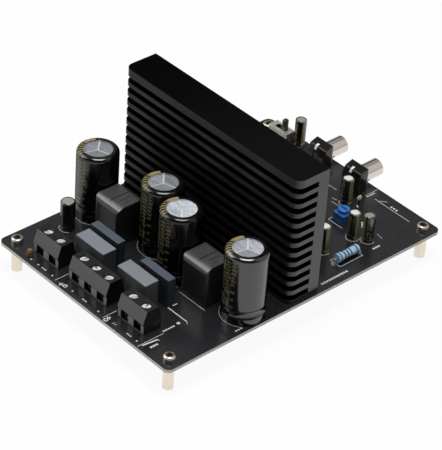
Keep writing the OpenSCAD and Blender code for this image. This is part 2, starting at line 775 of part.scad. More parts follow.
module heatsink() {
    color("#26272a") difference() {
        translate([sink_shift, back_y, top_z]) mirror([0, 1, 0]) intersection() {
            rotate([90, 0, 90]) linear_extrude(sink_len, center = true) fin_section();
            linear_extrude(sink_h) fin_plan();
        }
        for (p = foot_at)
            translate([p[0], p[1], top_z - bite])
                cylinder(r = thread_r + thread_gap, h = foot_thread + bite);
        for (x = tr_x)
            translate([x, back_y + bite, tr_hole_z]) rotate([90, 0, 0])
                cylinder(r = thread_r + thread_gap, h = plate_t - thread_floor + bite);
    }
}

module heatsink_screws() {
    color("#c9c2b2") for (p = foot_at)
        translate([p[0], p[1], under_z]) rotate([180, 0, 0])
            pan_screw(board_t + foot_thread - thread_spare);
}

module transistor(i) {
    color("#2a2b2d") difference() {
        union() {
            translate([tr_x[i] - tr_w / 2, tr_y, top_z + tr_lift]) cube([tr_w, tr_t, tr_body_h]);
            translate([tr_x[i] - tr_w / 2, tr_y, top_z + tr_lift])
                cube([tr_w, tr_tab_t, tr_body_h + tr_tab_h]);
            leads(transistor_leads(i), top_z + tr_lift + bite);
        }
        translate([tr_x[i], tr_y - bite, tr_hole_z]) rotate([-90, 0, 0])
            cylinder(r = thread_r + hole_gap, h = tr_tab_t + 2 * bite);
    }
}

module transistor_pads() {
    color("#8f9aa6") for (x = tr_x)
        difference() {
            translate([x - tr_w / 2 - pad_border, back_y, top_z + tr_lift - pad_border])
                cube([tr_w + 2 * pad_border, pad_t, tr_body_h + tr_tab_h + 2 * pad_border]);
            translate([x, back_y - bite, tr_hole_z]) rotate([-90, 0, 0])
                cylinder(r = thread_r + hole_gap, h = pad_t + 2 * bite);
        }
}

module transistor_screws() {
    color("#c9c2b2") for (x = tr_x)
        translate([x, tr_y + tr_tab_t, tr_hole_z]) rotate([-90, 0, 0])
            pan_screw(tr_tab_t + pad_t + plate_t - thread_floor - thread_spare);
}

// Half outline of a large can, grown outwards by e
module can_half(e) {
    difference() {
        union() {
            square([cap_r + e, cap_h - cap_round]);
            square([cap_r - cap_round, cap_h + e]);
            translate([cap_r - cap_round, cap_h - cap_round]) circle(cap_round + e);
        }
        translate([cap_r + crimp_r - crimp_deep, crimp_z]) circle(crimp_r - e);
    }
}

module capacitor_can(i) {
    color("#c8ccd0") {
        translate([cap_at[i][0], cap_at[i][1], top_z]) difference() {
            rotate_extrude() can_half(0);
            translate([0, 0, cap_h - cap_sink])
                cylinder(d = cap_open_d - 2 * sleeve_t, h = cap_sink + bite);
            for (k = [0 : score_count - 1])
                rotate(cap_turn[i] + k * full_turn / score_count)
                    translate([0, -score_w / 2, cap_h - cap_sink - score_deep])
                        cube([score_l, score_w, cap_sink + bite]);
        }
        leads(cap_leads(i), top_z + bite);
    }
}

module capacitor_sleeve(i) {
    color("#17171a") translate([cap_at[i][0], cap_at[i][1], top_z]) rotate_extrude() difference() {
        can_half(fit_gap + sleeve_t);
        can_half(fit_gap);
        square([cap_open_d / 2, cap_h + sleeve_t + bite]);
    }
}

module coil(i) {
    color("#3c4042") {
        translate([coil_at[i][0], coil_at[i][1], top_z]) difference() {
            moulded_block(coil_w, coil_d, coil_h, coil_corner_r, coil_side_r, coil_top_r);
            translate([-coil_slot_w / 2, -coil_slot_l / 2, coil_h - coil_slot_deep])
                cube([coil_slot_w, coil_slot_l, coil_slot_deep + bite]);
        }
        leads(coil_leads(i), top_z + bite);
    }
}

module film_capacitor(i) {
    color("#8b919c") {
        translate([film_at[i][0], film_at[i][1], top_z])
            moulded_block(film_l, film_at[i][2], film_h, film_edge_r, film_edge_r, film_edge_r);
        leads(film_leads(i), top_z + bite);
    }
}

// Side outline of a terminal block: stepped sloped front, sloped back
module terminal_side() {
    polygon([
        [term_step, 0],
        [term_step, term_step_h],
        [0, term_step_h],
        [term_front_slope, term_h],
        [term_d - term_back_slope, term_h],
        [term_d, term_back_h],
        [term_d, 0]
    ]);
}

module terminal_block(b) {
    cage_slot = cage_w + 2 * fit_gap;
    cage_room = cage_d + 2 * fit_gap;
    color("#3a3b3d") translate([block_x(b), term_y, top_z]) difference() {
        rotate([90, 0, 90]) linear_extrude(block_poles[b] * pole_pitch) terminal_side();
        for (i = [0 : block_poles[b] - 1])
            translate([(i + 0.5) * pole_pitch, 0, 0]) {
                translate([-entry_w / 2, -bite, entry_sill]) cube([entry_w, pole_back + bite, entry_h]);
                translate([-cage_slot / 2, pole_back - cage_room / 2, -bite])
                    cube([cage_slot, cage_room, cage_top_z + fit_gap + bite]);
                translate([0, pole_back, cage_top_z - bite])
                    cylinder(r = clamp_head_r + well_gap, h = term_h - cage_top_z + 2 * bite);
            }
    }
}

module clamp_cages() {
    color("#b9b4a6") for (p = pole_at) {
        translate([p[0], p[1], top_z]) difference() {
            translate([-cage_w / 2, -cage_d / 2, entry_sill - cage_wall])
                cube([cage_w, cage_d, cage_top_z - entry_sill + cage_wall]);
            translate([-entry_w / 2, -cage_d / 2 - bite, entry_sill])
                cube([entry_w, cage_d + 2 * bite, entry_h]);
            translate([0, 0, entry_top - bite])
                cylinder(r = clamp_shank_r + thread_gap, h = cage_top + 2 * bite);
        }
        leads([[p[0], p[1], pole_pin_r]], top_z + entry_sill - cage_wall + bite / 2);
    }
}

module clamp_screw(i) {
    shank = clamp_open + cage_top + clamp_tip;
    color("#cdd0d3") translate([pole_at[i][0], pole_at[i][1], top_z + clamp_head_z]) difference() {
        union() {
            cylinder(r = clamp_head_r, h = clamp_head_h);
            translate([0, 0, -shank]) cylinder(r = clamp_shank_r, h = shank + bite);
        }
        rotate(i * slot_turn) translate([-clamp_head_r - bite, -slot_w / 2, clamp_head_h - slot_deep])
            cube([2 * clamp_head_r + 2 * bite, slot_w, slot_deep + bite]);
    }
}

// Sleeved can with its crimped groove and sunk bare top, on two leads
module radial_can(p, d, h, list) {
    translate([p[0], p[1], top_z]) rotate_extrude() difference() {
        rimmed_half(d / 2, h, small_round);
        translate([d / 2 + small_crimp_r - small_crimp, small_crimp_z]) circle(small_crimp_r);
        translate([0, h - small_crimp]) square([d / 2 - small_round, h]);
    }
    leads(list, top_z + bite);
}

module supply_capacitor() {
    color("#1b1a16") radial_can(supply_at, supply_d, supply_h, supply_leads);
}

module small_capacitor(i) {
    color("#2a2716") radial_can(small_at[i], small_d, small_h, small_leads(i));
}

// Side outline of a socket body, from its front face at 0 backwards
module socket_side() {
    polygon([
        [0, 0],
        [0, socket_h],
        [socket_bevel - socket_d, socket_h - socket_drop],
        [-socket_d, socket_h - socket_drop - socket_bevel_h],
        [-socket_d, 0]
    ]);
}

// Cylinder along the socket axis from one distance in front of the body to another
module axis_rod(r, from, to) {
    translate([0, from, socket_axis]) rotate([-90, 0, 0]) cylinder(r = r, h = to - from);
}

module socket_body(i) {
    color("#1f1d1c") {
        translate([socket_at[i][0], socket_at[i][1], top_z]) difference() {
            rotate([90, 0, 90]) linear_extrude(socket_w, center = true) socket_side();
            axis_rod(spigot_r + fit_gap, -spigot_l - fit_gap, bite);
            axis_rod(stub_r + fit_gap, -socket_d - bite, 0);
        }
        leads(socket_leads(i), top_z + bite);
    }
}

module socket_shell(i) {
    color("#d5d3cf") translate([socket_at[i][0], socket_at[i][1], top_z]) difference() {
        union() {
            axis_rod(spigot_r, -spigot_l, bite);
            axis_rod(flange_r, 0, flange_t);
            axis_rod(shell_r, 0, shell_l);
        }
        axis_rod(shell_bore, -spigot_l - bite, shell_l + bite);
    }
}

module socket_insulator(i) {
    color("#f1efe8") translate([socket_at[i][0], socket_at[i][1], top_z]) difference() {
        union() {
            axis_rod(shell_bore - fit_gap, -spigot_l, insulator_end);
            axis_rod(stub_r, stub_set - socket_d, 0);
        }
        axis_rod(contact_r + fit_gap, contact_start - fit_gap, insulator_end + bite);
    }
}

module socket_contacts() {
    color("#d9c27a") for (p = socket_at)
        translate([p[0], p[1], top_z]) difference() {
            axis_rod(contact_r, contact_start, insulator_end);
            axis_rod(pin_bore_r, insulator_end - pin_bore_l, insulator_end + bite);
        }
}

module switch_base() {
    color("#232323") {
        translate([switch_x - switch_in_l / 2 + fit_gap, switch_y - switch_in_w / 2 + fit_gap, top_z])
            cube([switch_in_l - 2 * fit_gap, switch_in_w - 2 * fit_gap, switch_base_h]);
        leads(switch_leads, top_z + bite);
    }
}

module switch_frame() {
    slot_l = lever_l + slider_travel + 4 * run_gap;
    slot_wide = lever_w + 4 * run_gap;
    color("#c4c1b8") {
        translate([switch_x, switch_y, top_z]) difference() {
            translate([-switch_l / 2, -switch_w / 2, switch_lip])
                cube([switch_l, switch_w, switch_h - switch_lip]);
            translate([-switch_in_l / 2, -switch_in_w / 2, 0])
                cube([switch_in_l, switch_in_w, switch_h - sheet_t]);
            translate([-slot_l / 2, -slot_wide / 2, 0]) cube([slot_l, slot_wide, switch_h + bite]);
        }
        for (p = switch_tabs)
            translate([p[0] - sheet_t / 2, p[1] - switch_tab_w / 2, tail_z])
                cube([sheet_t, switch_tab_w, top_z + switch_lip + bite - tail_z]);
    }
}

module switch_slider() {
    body_w = switch_in_w - 4 * run_gap;
    body_z = switch_base_h + run_gap;
    body_h = switch_h - sheet_t - run_gap - body_z;
    color("#1c1c1c") translate([switch_x + slider_travel / 2, switch_y, top_z]) {
        translate([-slider_l / 2, -body_w / 2, body_z]) cube([slider_l, body_w, body_h]);
        translate([0, 0, body_z])
            moulded_block(lever_l, lever_w, switch_h + lever_h - body_z, edge_r, edge_r, edge_r);
    }
}

module trimmer_body() {
    color("#2465b8") {
        translate([trim_at[0], trim_at[1], top_z]) difference() {
            moulded_block(trim_w, trim_d, trim_h, edge_r, edge_r, edge_r);
            translate([0, 0, trim_h - rotor_seat])
                cylinder(r = rotor_r + run_gap, h = rotor_seat + bite);
        }
        leads(trim_leads, top_z + bite);
    }
}

module trimmer_rotor() {
    rotor_h = rotor_seat - run_gap + rotor_lift;
    rotor_z = top_z + trim_h - rotor_seat + run_gap;
    color("#3f8be0") translate([trim_at[0], trim_at[1], rotor_z]) difference() {
        rotate_extrude() rimmed_half(rotor_r, rotor_h, edge_r);
        translate([-rotor_slot_l / 2, -rotor_slot_w / 2, rotor_h - rotor_slot_deep])
            cube([rotor_slot_l, rotor_slot_w, rotor_slot_deep + bite]);
    }
}

module resistor() {
    axis_z = top_z + resistor_gap + resistor_r;
    waist_l = resistor_l - 2 * resistor_end;
    span = resistor_l + 2 * resistor_reach;
    color("#5f9fc4") {
        translate([resistor_at[0], resistor_at[1], axis_z]) rotate([90, 0, 0]) {
            for (s = [-1, 1])
                translate([0, 0, s * (resistor_l - resistor_end) / 2])
                    cylinder(r = resistor_r, h = resistor_end, center = true);
            cylinder(r = resistor_r - resistor_waist, h = waist_l + bite, center = true);
            cylinder(r = resistor_lead_r, h = span, center = true);
        }
        for (p = resistor_leads)
            translate([p[0], p[1], axis_z]) sphere(r = resistor_lead_r);
        leads(resistor_leads, axis_z);
    }
}

// Half outline of a lens: a disc whose two faces are rounded
module lens_half(r, t) {
    bow = (r * r - t * t / 4) / t;
    intersection() {
        translate([0, -t / 2]) square([r, t]);
        translate([0, bow]) circle(bow + t / 2);
        translate([0, -bow]) circle(bow + t / 2);
    }
}

module dipped_capacitor() {
    color("#b9ab8f") {
        translate([disc_at[0], disc_at[1], top_z + disc_gap + disc_r]) rotate([0, 90, 0])
            rotate_extrude() lens_half(disc_r, disc_t);
        leads(disc_leads, top_z + disc_gap + disc_r);
    }
}

module indicator_lamp() {
    color("#c79a4a") {
        translate([lamp_at[0], lamp_at[1], top_z]) {
            cylinder(r = lamp_flange_r, h = lamp_flange_t);
            cylinder(r = lamp_r, h = lamp_flange_t + lamp_wall);
            translate([0, 0, lamp_flange_t + lamp_wall]) sphere(r = lamp_r);
        }
        leads(lamp_leads, top_z + bite);
    }
}

// Side outline of a chip's lead, from the body's wall outwards and down to its foot
module chip_lead_side() {
    half = chip_w / 2;
    mid = chip_lift + chip_t / 2;
    foot = half + chip_reach - chip_foot;
    polygon([
        [half - bite, mid],
        [foot + chip_lead_t - chip_slope, mid],
        [foot + chip_lead_t, chip_lead_t],
        [half + chip_reach, chip_lead_t],
        [half + chip_reach, 0],
        [foot, 0],
        [foot - chip_slope, mid - chip_lead_t],
        [half - bite, mid - chip_lead_t]
    ]);
}

module driver_chips() {
    color("#202124") for (p = chip_at)
        translate([p[0], p[1], top_z]) {
            translate([-chip_l / 2, -chip_w / 2, chip_lift]) cube([chip_l, chip_w, chip_t]);
            for (s = [0, 1], i = [0 : chip_leads - 1])
                mirror([0, s, 0]) translate([(i - (chip_leads - 1) / 2) * chip_pitch, 0, 0])
                    rotate([90, 0, 90]) linear_extrude(chip_lead_w, center = true) chip_lead_side();
        }
}

module chip_parts() {
    end_w = part_w + 2 * part_plate;
    end_t = part_t + 2 * part_plate;
    color("#4a4740") for (p = part_at)
        translate([p[0], p[1], top_z]) {
            translate([-part_w / 2, -part_l / 2, part_plate]) cube([part_w, part_l, part_t]);
            for (y = [-part_l / 2 - part_plate, part_l / 2 + part_plate - part_end])
                translate([-end_w / 2, y, 0]) cube([end_w, part_end, end_t]);
        }
}

module solder_joints() {
    color("#c7c9cb") for (p = all_leads)
        translate([p[0], p[1], under_z - solder_h]) difference() {
            cylinder(r1 = p[2] + solder_tip, r2 = p[2] + solder_ring, h = solder_h);
            translate([0, 0, -bite]) cylinder(r = p[2] + fit_gap, h = solder_h + 2 * bite);
        }
}

board();
standoffs();
board_screws();
heatsink();
heatsink_screws();
transistor(0);  // transistor_1
transistor(1);  // transistor_2
transistor(2);  // transistor_3
transistor(3);  // transistor_4
transistor_pads();
transistor_screws();
capacitor_can(0);  // capacitor_can_1
capacitor_can(1);  // capacitor_can_2
capacitor_can(2);  // capacitor_can_3
capacitor_can(3);  // capacitor_can_4
capacitor_sleeve(0);  // capacitor_sleeve_1
capacitor_sleeve(1);  // capacitor_sleeve_2
capacitor_sleeve(2);  // capacitor_sleeve_3
capacitor_sleeve(3);  // capacitor_sleeve_4
coil(0);  // coil_1
coil(1);  // coil_2
film_capacitor(0);  // film_capacitor_1
film_capacitor(1);  // film_capacitor_2
film_capacitor(2);  // film_capacitor_3
film_capacitor(3);  // film_capacitor_4
terminal_block(0);  // terminal_block_1
terminal_block(1);  // terminal_block_2
terminal_block(2);  // terminal_block_3
clamp_cages();
clamp_screw(0);  // clamp_screw_1
clamp_screw(1);  // clamp_screw_2
clamp_screw(2);  // clamp_screw_3
clamp_screw(3);  // clamp_screw_4
clamp_screw(4);  // clamp_screw_5
clamp_screw(5);  // clamp_screw_6
clamp_screw(6);  // clamp_screw_7
supply_capacitor();
small_capacitor(0);  // small_capacitor_1
small_capacitor(1);  // small_capacitor_2
small_capacitor(2);  // small_capacitor_3
small_capacitor(3);  // small_capacitor_4
small_capacitor(4);  // small_capacitor_5
socket_body(0);  // socket_body_1
socket_body(1);  // socket_body_2
socket_shell(0);  // socket_shell_1
socket_shell(1);  // socket_shell_2
socket_insulator(0);  // socket_insulator_1
socket_insulator(1);  // socket_insulator_2
socket_contacts();
switch_base();
switch_frame();
switch_slider();
trimmer_body();
trimmer_rotor();
resistor();
dipped_capacitor();
indicator_lamp();
driver_chips();
chip_parts();
solder_joints();
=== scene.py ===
"""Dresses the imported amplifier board: finishes, printed legend, fine parts, studio and camera.

Lengths in the classes are millimetres; meshes are written in metres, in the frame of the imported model.
"""

from __future__ import annotations

import logging
import math
from abc import ABC, abstractmethod
from collections.abc import Callable, Iterable, Sequence
from dataclasses import dataclass
from enum import Enum
from typing import Any

import bmesh
import bpy
from mathutils import Matrix, Vector


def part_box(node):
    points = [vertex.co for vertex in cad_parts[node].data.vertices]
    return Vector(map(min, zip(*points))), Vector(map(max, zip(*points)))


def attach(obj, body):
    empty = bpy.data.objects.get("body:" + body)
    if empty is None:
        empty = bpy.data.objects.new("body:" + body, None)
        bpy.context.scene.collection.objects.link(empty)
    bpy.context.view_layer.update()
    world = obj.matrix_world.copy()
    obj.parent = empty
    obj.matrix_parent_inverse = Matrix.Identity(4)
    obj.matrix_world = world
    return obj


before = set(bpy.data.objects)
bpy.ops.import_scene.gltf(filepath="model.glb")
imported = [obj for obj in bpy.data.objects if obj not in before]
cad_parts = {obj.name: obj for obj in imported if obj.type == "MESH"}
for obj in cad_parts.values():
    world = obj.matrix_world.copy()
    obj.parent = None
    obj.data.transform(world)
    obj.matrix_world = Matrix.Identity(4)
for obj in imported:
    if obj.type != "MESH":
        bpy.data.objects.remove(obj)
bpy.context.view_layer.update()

MM = 0.001
ROOT_BODY = "amplifier"
FULL_TURN = 360.0
ARC_STEP = 6.0
ARC_LEAST = 8
LEAD_SLACK = 0.01
THIN = 0.22
BOLD = 0.5

Colour = tuple[float, float, float]
Place = tuple[float, float, float]
Point = tuple[float, float]
Span = tuple[float, float]
Row = tuple[float, ...]
log = logging.getLogger("amplifier")


class Ray(Enum):
    """Light Path outputs that see the white ground."""

    CAMERA = "Is Camera Ray"
    GLOSSY = "Is Glossy Ray"
    TRANSMISSION = "Is Transmission Ray"


class Wire:
    """A number carried by a socket. Arithmetic on it adds Math nodes to its graph."""

    def __init__(self, graph: Graph, socket: bpy.types.NodeSocket) -> None:
        """Wraps one output socket of a graph."""
        self.graph = graph
        self.socket = socket

    def __add__(self, other: Wire | float) -> Wire:
        """Sum."""
        return self.graph.math("ADD", self, other)

    def __radd__(self, other: float) -> Wire:
        """Sum with a number on the left."""
        return self.graph.math("ADD", other, self)

    def __sub__(self, other: Wire | float) -> Wire:
        """Difference."""
        return self.graph.math("SUBTRACT", self, other)

    def __rsub__(self, other: float) -> Wire:
        """Difference from a number."""
        return self.graph.math("SUBTRACT", other, self)

    def __mul__(self, other: Wire | float) -> Wire:
        """Product."""
        return self.graph.math("MULTIPLY", self, other)

    def __rmul__(self, other: float) -> Wire:
        """Product with a number on the left."""
        return self.graph.math("MULTIPLY", other, self)

    def __truediv__(self, other: Wire | float) -> Wire:
        """Quotient."""
        return self.graph.math("DIVIDE", self, other)

    def __rtruediv__(self, other: float) -> Wire:
        """Quotient of a number by this."""
        return self.graph.math("DIVIDE", other, self)

    def __abs__(self) -> Wire:
        """Absolute value."""
        return self.graph.math("ABSOLUTE", self)

    def __gt__(self, other: Wire | float) -> Wire:
        """One where this is the greater, else zero."""
        return self.graph.math("GREATER_THAN", self, other)

    def __lt__(self, other: Wire | float) -> Wire:
        """One where this is the smaller, else zero."""
        return self.graph.math("LESS_THAN", self, other)

    def root(self) -> Wire:
        """Square root."""
        return self.graph.math("SQRT", self)

    def floor(self) -> Wire:
        """Whole part."""
        return self.graph.math("FLOOR", self)

    def fraction(self) -> Wire:
        """Part after the point."""
        return self.graph.math("FRACT", self)

    def either(self, other: Wire | float) -> Wire:
        """Larger of two masks."""
        return self.graph.math("MAXIMUM", self, other)

    def between(self, low: Wire | float, high: Wire | float) -> Wire:
        """The low value where this is 0, the high one where it is 1."""
        return low + self * (high - low)

    def swing(self, middle: Wire | float, width: float) -> Wire:
        """A value that swings about a middle as this runs from 0 to 1."""
        return middle + (self - 0.5) * width

    def fade(self, low: float, high: float) -> Wire:
        """Smooth step.

        Args:
            low: Value that gives 0.
            high: Value that gives 1; it may be the smaller one.

        Returns:
            The mask between 0 and 1.
        """
        node = self.graph.node(
            "ShaderNodeMapRange",
            {"interpolation_type": "SMOOTHSTEP"},
            {"Value": self, "From Min": low, "From Max": high},
        )
        return Wire(self.graph, node.outputs["Result"])


class Graph:
    """The node tree of one material or world."""

    def __init__(self, owner: bpy.types.Material | bpy.types.World) -> None:
        """Empties the owner's node tree.

        Args:
            owner: The material or world that the graph draws.
        """
        owner.use_nodes = True
        self.tree = owner.node_tree
        self.tree.nodes.clear()
        self._mm: bpy.types.NodeSocket | None = None

    def node(
        self, kind: str, settings: dict[str, Any] | None = None, sockets: dict[Any, Any] | None = None
    ) -> bpy.types.Node:
        """Adds a node.

        Args:
            kind: Blender's node type.
            settings: Attributes that are set before the sockets.
            sockets: Values or links by socket name or index.

        Returns:
            The new node.
        """
        made = self.tree.nodes.new(kind)
        for key, value in (settings or {}).items():
            setattr(made, key, value)
        for key, value in (sockets or {}).items():
            self.feed(made.inputs[key], value)
        return made

    def feed(self, socket: bpy.types.NodeSocket, value: Any) -> None:
        """Links a wire or socket to an input, or sets a plain value on it.

        Args:
            socket: The input.
            value: A wire, an output socket, or a value that the input takes.
        """
        source = value.socket if isinstance(value, Wire) else value
        if isinstance(source, bpy.types.NodeSocket):
            self.tree.links.new(source, socket)
        elif socket.type == "RGBA":
            socket.default_value = (*source, 1.0)
        else:
            socket.default_value = source

    def math(self, operation: str, *operands: Wire | float) -> Wire:
        """Adds one Math node."""
        made = self.node("ShaderNodeMath", {"operation": operation}, dict(enumerate(operands)))
        return Wire(self, made.outputs[0])

    def mix(self, factor: Wire | float, first: Any, second: Any) -> bpy.types.NodeSocket:
        """Blends two colours or colour sockets: 0 gives the first, 1 the second."""
        made = self.node("ShaderNodeMix", {"data_type": "RGBA"}, {0: factor, 6: first, 7: second})
        return made.outputs[2]

    def vary(self, factor: Wire, colour: Colour, low: float, high: float) -> bpy.types.NodeSocket:
        """One colour that runs from a low gain to a high one with the factor."""
        return self.mix(factor, tint(colour, low), tint(colour, high))

    def millimetres(self) -> bpy.types.NodeSocket:
        """Place on the piece, in millimetres.

        Returns:
            The vector's socket, which is made once.
        """
        if self._mm is None:
            place = self.node("ShaderNodeTexCoord").outputs["Object"]
            scaled = self.node("ShaderNodeVectorMath", {"operation": "SCALE"}, {0: place, "Scale": 1 / MM})
            self._mm = scaled.outputs[0]
        return self._mm

    def split(self, vector: bpy.types.NodeSocket) -> tuple[Wire, Wire, Wire]:
        """X, Y and Z of a vector."""
        parts = self.node("ShaderNodeSeparateXYZ", {}, {0: vector})
        return Wire(self, parts.outputs[0]), Wire(self, parts.outputs[1]), Wire(self, parts.outputs[2])

    def place(self) -> tuple[Wire, Wire, Wire]:
        """X, Y and Z of the place on the piece, in millimetres."""
        return self.split(self.millimetres())

    def facing(self) -> tuple[Wire, Wire, Wire]:
        """X, Y and Z of the surface's own normal."""
        return self.split(self.node("ShaderNodeTexCoord").outputs["Normal"])

    def grazing(self) -> Wire:
        """Zero where the surface faces the viewer, one at its rim."""
        return Wire(self, self.node("ShaderNodeLayerWeight", {}, {"Blend": 0.5}).outputs["Facing"])

    def ray(self, kind: Ray) -> Wire:
        """One for rays of that kind, else zero."""
        return Wire(self, self.node("ShaderNodeLightPath").outputs[kind.value])

    def noise(self, scale: float, detail: float = 2.0, stretch: Sequence[float] = (1, 1, 1)) -> Wire:
        """Soft random pattern between 0 and 1.

        Args:
            scale: Features per millimetre.
            detail: Octaves of finer pattern.
            stretch: Density along X, Y and Z.

        Returns:
            The pattern's value.
        """
        place = self.millimetres()
        drawn = self.node("ShaderNodeVectorMath", {"operation": "MULTIPLY"}, {0: place, 1: stretch})
        made = self.node(
            "ShaderNodeTexNoise", {}, {"Vector": drawn.outputs[0], "Scale": scale, "Detail": detail}
        )
        return Wire(self, made.outputs[0])

    def chance(self, seed: Wire) -> Wire:
        """Random number between 0 and 1 for each value of the seed."""
        made = self.node("ShaderNodeTexWhiteNoise", {"noise_dimensions": "1D"}, {"W": seed})
        return Wire(self, made.outputs["Value"])

    def soft_edges(self, radius: float) -> bpy.types.NodeSocket:
        """Normal that rounds sharp edges by a radius in millimetres."""
        return self.node("ShaderNodeBevel", {"samples": 4}, {"Radius": radius * MM}).outputs[0]

    def relief(self, height: Wire, depth: float, normal: Any = None) -> bpy.types.NodeSocket:
        """Raises the surface.

        Args:
            height: Pattern between 0 and 1.
            depth: Millimetres from 0 to 1.
            normal: Normal to start from.

        Returns:
            The new normal's socket.
        """
        sockets = {"Height": height, "Distance": depth * MM, "Strength": 1.0}
        if normal is not None:
            sockets["Normal"] = normal
        return self.node("ShaderNodeBump", {}, sockets).outputs[0]

    def surface(self, **sockets: Any) -> None:
        """Ends the tree in a Principled shader; underscores in the names stand for spaces."""
        named = {key.replace("_", " "): value for key, value in sockets.items()}
        self.end(self.node("ShaderNodeBsdfPrincipled", {}, named))

    def end(self, shader: bpy.types.Node, output: str = "ShaderNodeOutputMaterial") -> None:
        """Links a shader node to the tree's output."""
        self.node(output, {}, {"Surface": shader.outputs[0]})


def tint(colour: Colour, gain: float) -> Colour:
    """The colour made lighter or darker by a gain."""
    return tuple(min(1.0, c * gain) for c in colour)


@dataclass(frozen=True)
class Finish(ABC):
    """A surface finish that is made into one material on first use."""

    name: str

    def material(self) -> bpy.types.Material:
        """Finds the finish's material, or makes it.

        Returns:
            The material.
        """
        title = f"{self.name}_finish"
        found = bpy.data.materials.get(title)
        if found is None:
            found = bpy.data.materials.new(title)
            self.paint(Graph(found))
        return found

    @abstractmethod
    def paint(self, graph: Graph) -> None:
        """Draws the finish into an empty graph.

        Args:
            graph: The material's graph.
        """


@dataclass(frozen=True)
class Moulding(Finish):
    """Moulded plastic or epoxy with a fine spark-eroded grain."""

    colour: Colour
    roughness: float = 0.45
    grain: float = 5.0
    relief: float = 0.012
    mottle: float = 0.12
    edge: float = 0.2
    gloss: float = 0.5
    # gain of the painted light on faces that point up
    top_light_gain: float = 1.0
    top_light_facing: Span = (0.55, 0.95)
    mottle_scale: float = 0.22
    rough_swing: float = 0.16

    def paint(self, graph: Graph) -> None:
        """Mottled colour, grain in the roughness and the normal, soft edges.

        Args:
            graph: The material's graph.
        """
        fine = graph.noise(self.grain, 2.0)
        graph.surface(
            Base_Color=self.shade(graph),
            Roughness=fine.swing(self.roughness, self.rough_swing),
            Specular_IOR_Level=self.gloss,
            Normal=graph.relief(fine, self.relief, graph.soft_edges(self.edge)),
        )

    def shade(self, graph: Graph) -> bpy.types.NodeSocket:
        """Colour with soft mottling, painted lighter where the surface faces up: painted light on the tops.

        Args:
            graph: The material's graph.

        Returns:
            The colour's socket.
        """
        broad = graph.noise(self.mottle_scale, 3.0)
        plain = graph.vary(broad, self.colour, 1 - self.mottle, 1 + self.mottle)
        if self.top_light_gain == 1.0:
            return plain
        # painted light: faces that point up get a lighter copy of the colour
        _, _, up = graph.facing()
        pale = graph.vary(broad, tint(self.colour, self.top_light_gain), 1 - self.mottle, 1 + self.mottle)
        return graph.mix(up.fade(*self.top_light_facing), plain, pale)


@dataclass(frozen=True)
class TerminalGrey(Moulding):
    """Dark moulding, painted a lighter grey on its slope and paler on the upright front round the wire
    entries: painted light.
    """

    slope: Colour = (0.072, 0.073, 0.075)
    face: Colour = (0.32, 0.32, 0.31)
    face_low: Span = (0.3, 0.8)
    face_high: Span = (4.9, 4.3)
    front_facing: Span = (-0.96, -0.985)
    slope_facing: Span = (-0.85, -0.92)
    cloud_scale: float = 0.35
    face_gain: Span = (0.8, 1.2)
    slope_gain: Span = (0.85, 1.15)
    base_z: float = 0.0

    def shade(self, graph: Graph) -> bpy.types.NodeSocket:
        """Dark colour, painted lighter on the slope, with a band of the paler grey between two heights of the
        front; both are painted light.

        Args:
            graph: The material's graph.

        Returns:
            The colour's socket.
        """
        _, out, _ = graph.facing()
        _, _, z = graph.place()
        climb = z - self.base_z
        # painted light: a band of the upright front between two heights is painted pale
        band = climb.fade(*self.face_low) * climb.fade(*self.face_high)
        cloud = graph.noise(self.cloud_scale, 3.0)
        face = graph.vary(cloud, self.face, *self.face_gain)
        # painted light: the slope gets a lighter grey
        lit_slope = graph.vary(cloud, self.slope, *self.slope_gain)
        dark = super().shade(graph)
        front = out.fade(*self.front_facing)
        sloped = graph.mix(out.fade(*self.slope_facing) * (1 - front), dark, lit_slope)
        return graph.mix(band * front, sloped, face)


@dataclass(frozen=True)
class Plating(Finish):
    """Plated or bare metal with drawn marks along one axis and a little tarnish."""

    colour: Colour
    roughness: float = 0.25
    marks: Place = (1.0, 1.0, 1.0)
    tarnish: Colour = (0.45, 0.38, 0.28)
    tarnish_share: float = 0.15
    metallic: float = 1.0
    edge: float = 0.12
    mark_scale: float = 2.5
    mark_depth: float = 0.006
    rough_swing: float = 0.2
    patch_scale: float = 0.5
    patch_span: Span = (0.45, 0.75)

    def paint(self, graph: Graph) -> None:
        """Metal whose roughness follows the marks, with tarnish in patches.

        Args:
            graph: The material's graph.
        """
        drawn = graph.noise(self.mark_scale, 3.0, self.marks)
        patch = graph.noise(self.patch_scale, 3.0).fade(*self.patch_span)
        graph.surface(
            Base_Color=graph.mix(patch * self.tarnish_share, self.colour, self.tarnish),
            Metallic=self.metallic,
            Roughness=drawn.swing(self.roughness, self.rough_swing),
            Normal=graph.relief(drawn, self.mark_depth, graph.soft_edges(self.edge)),
        )


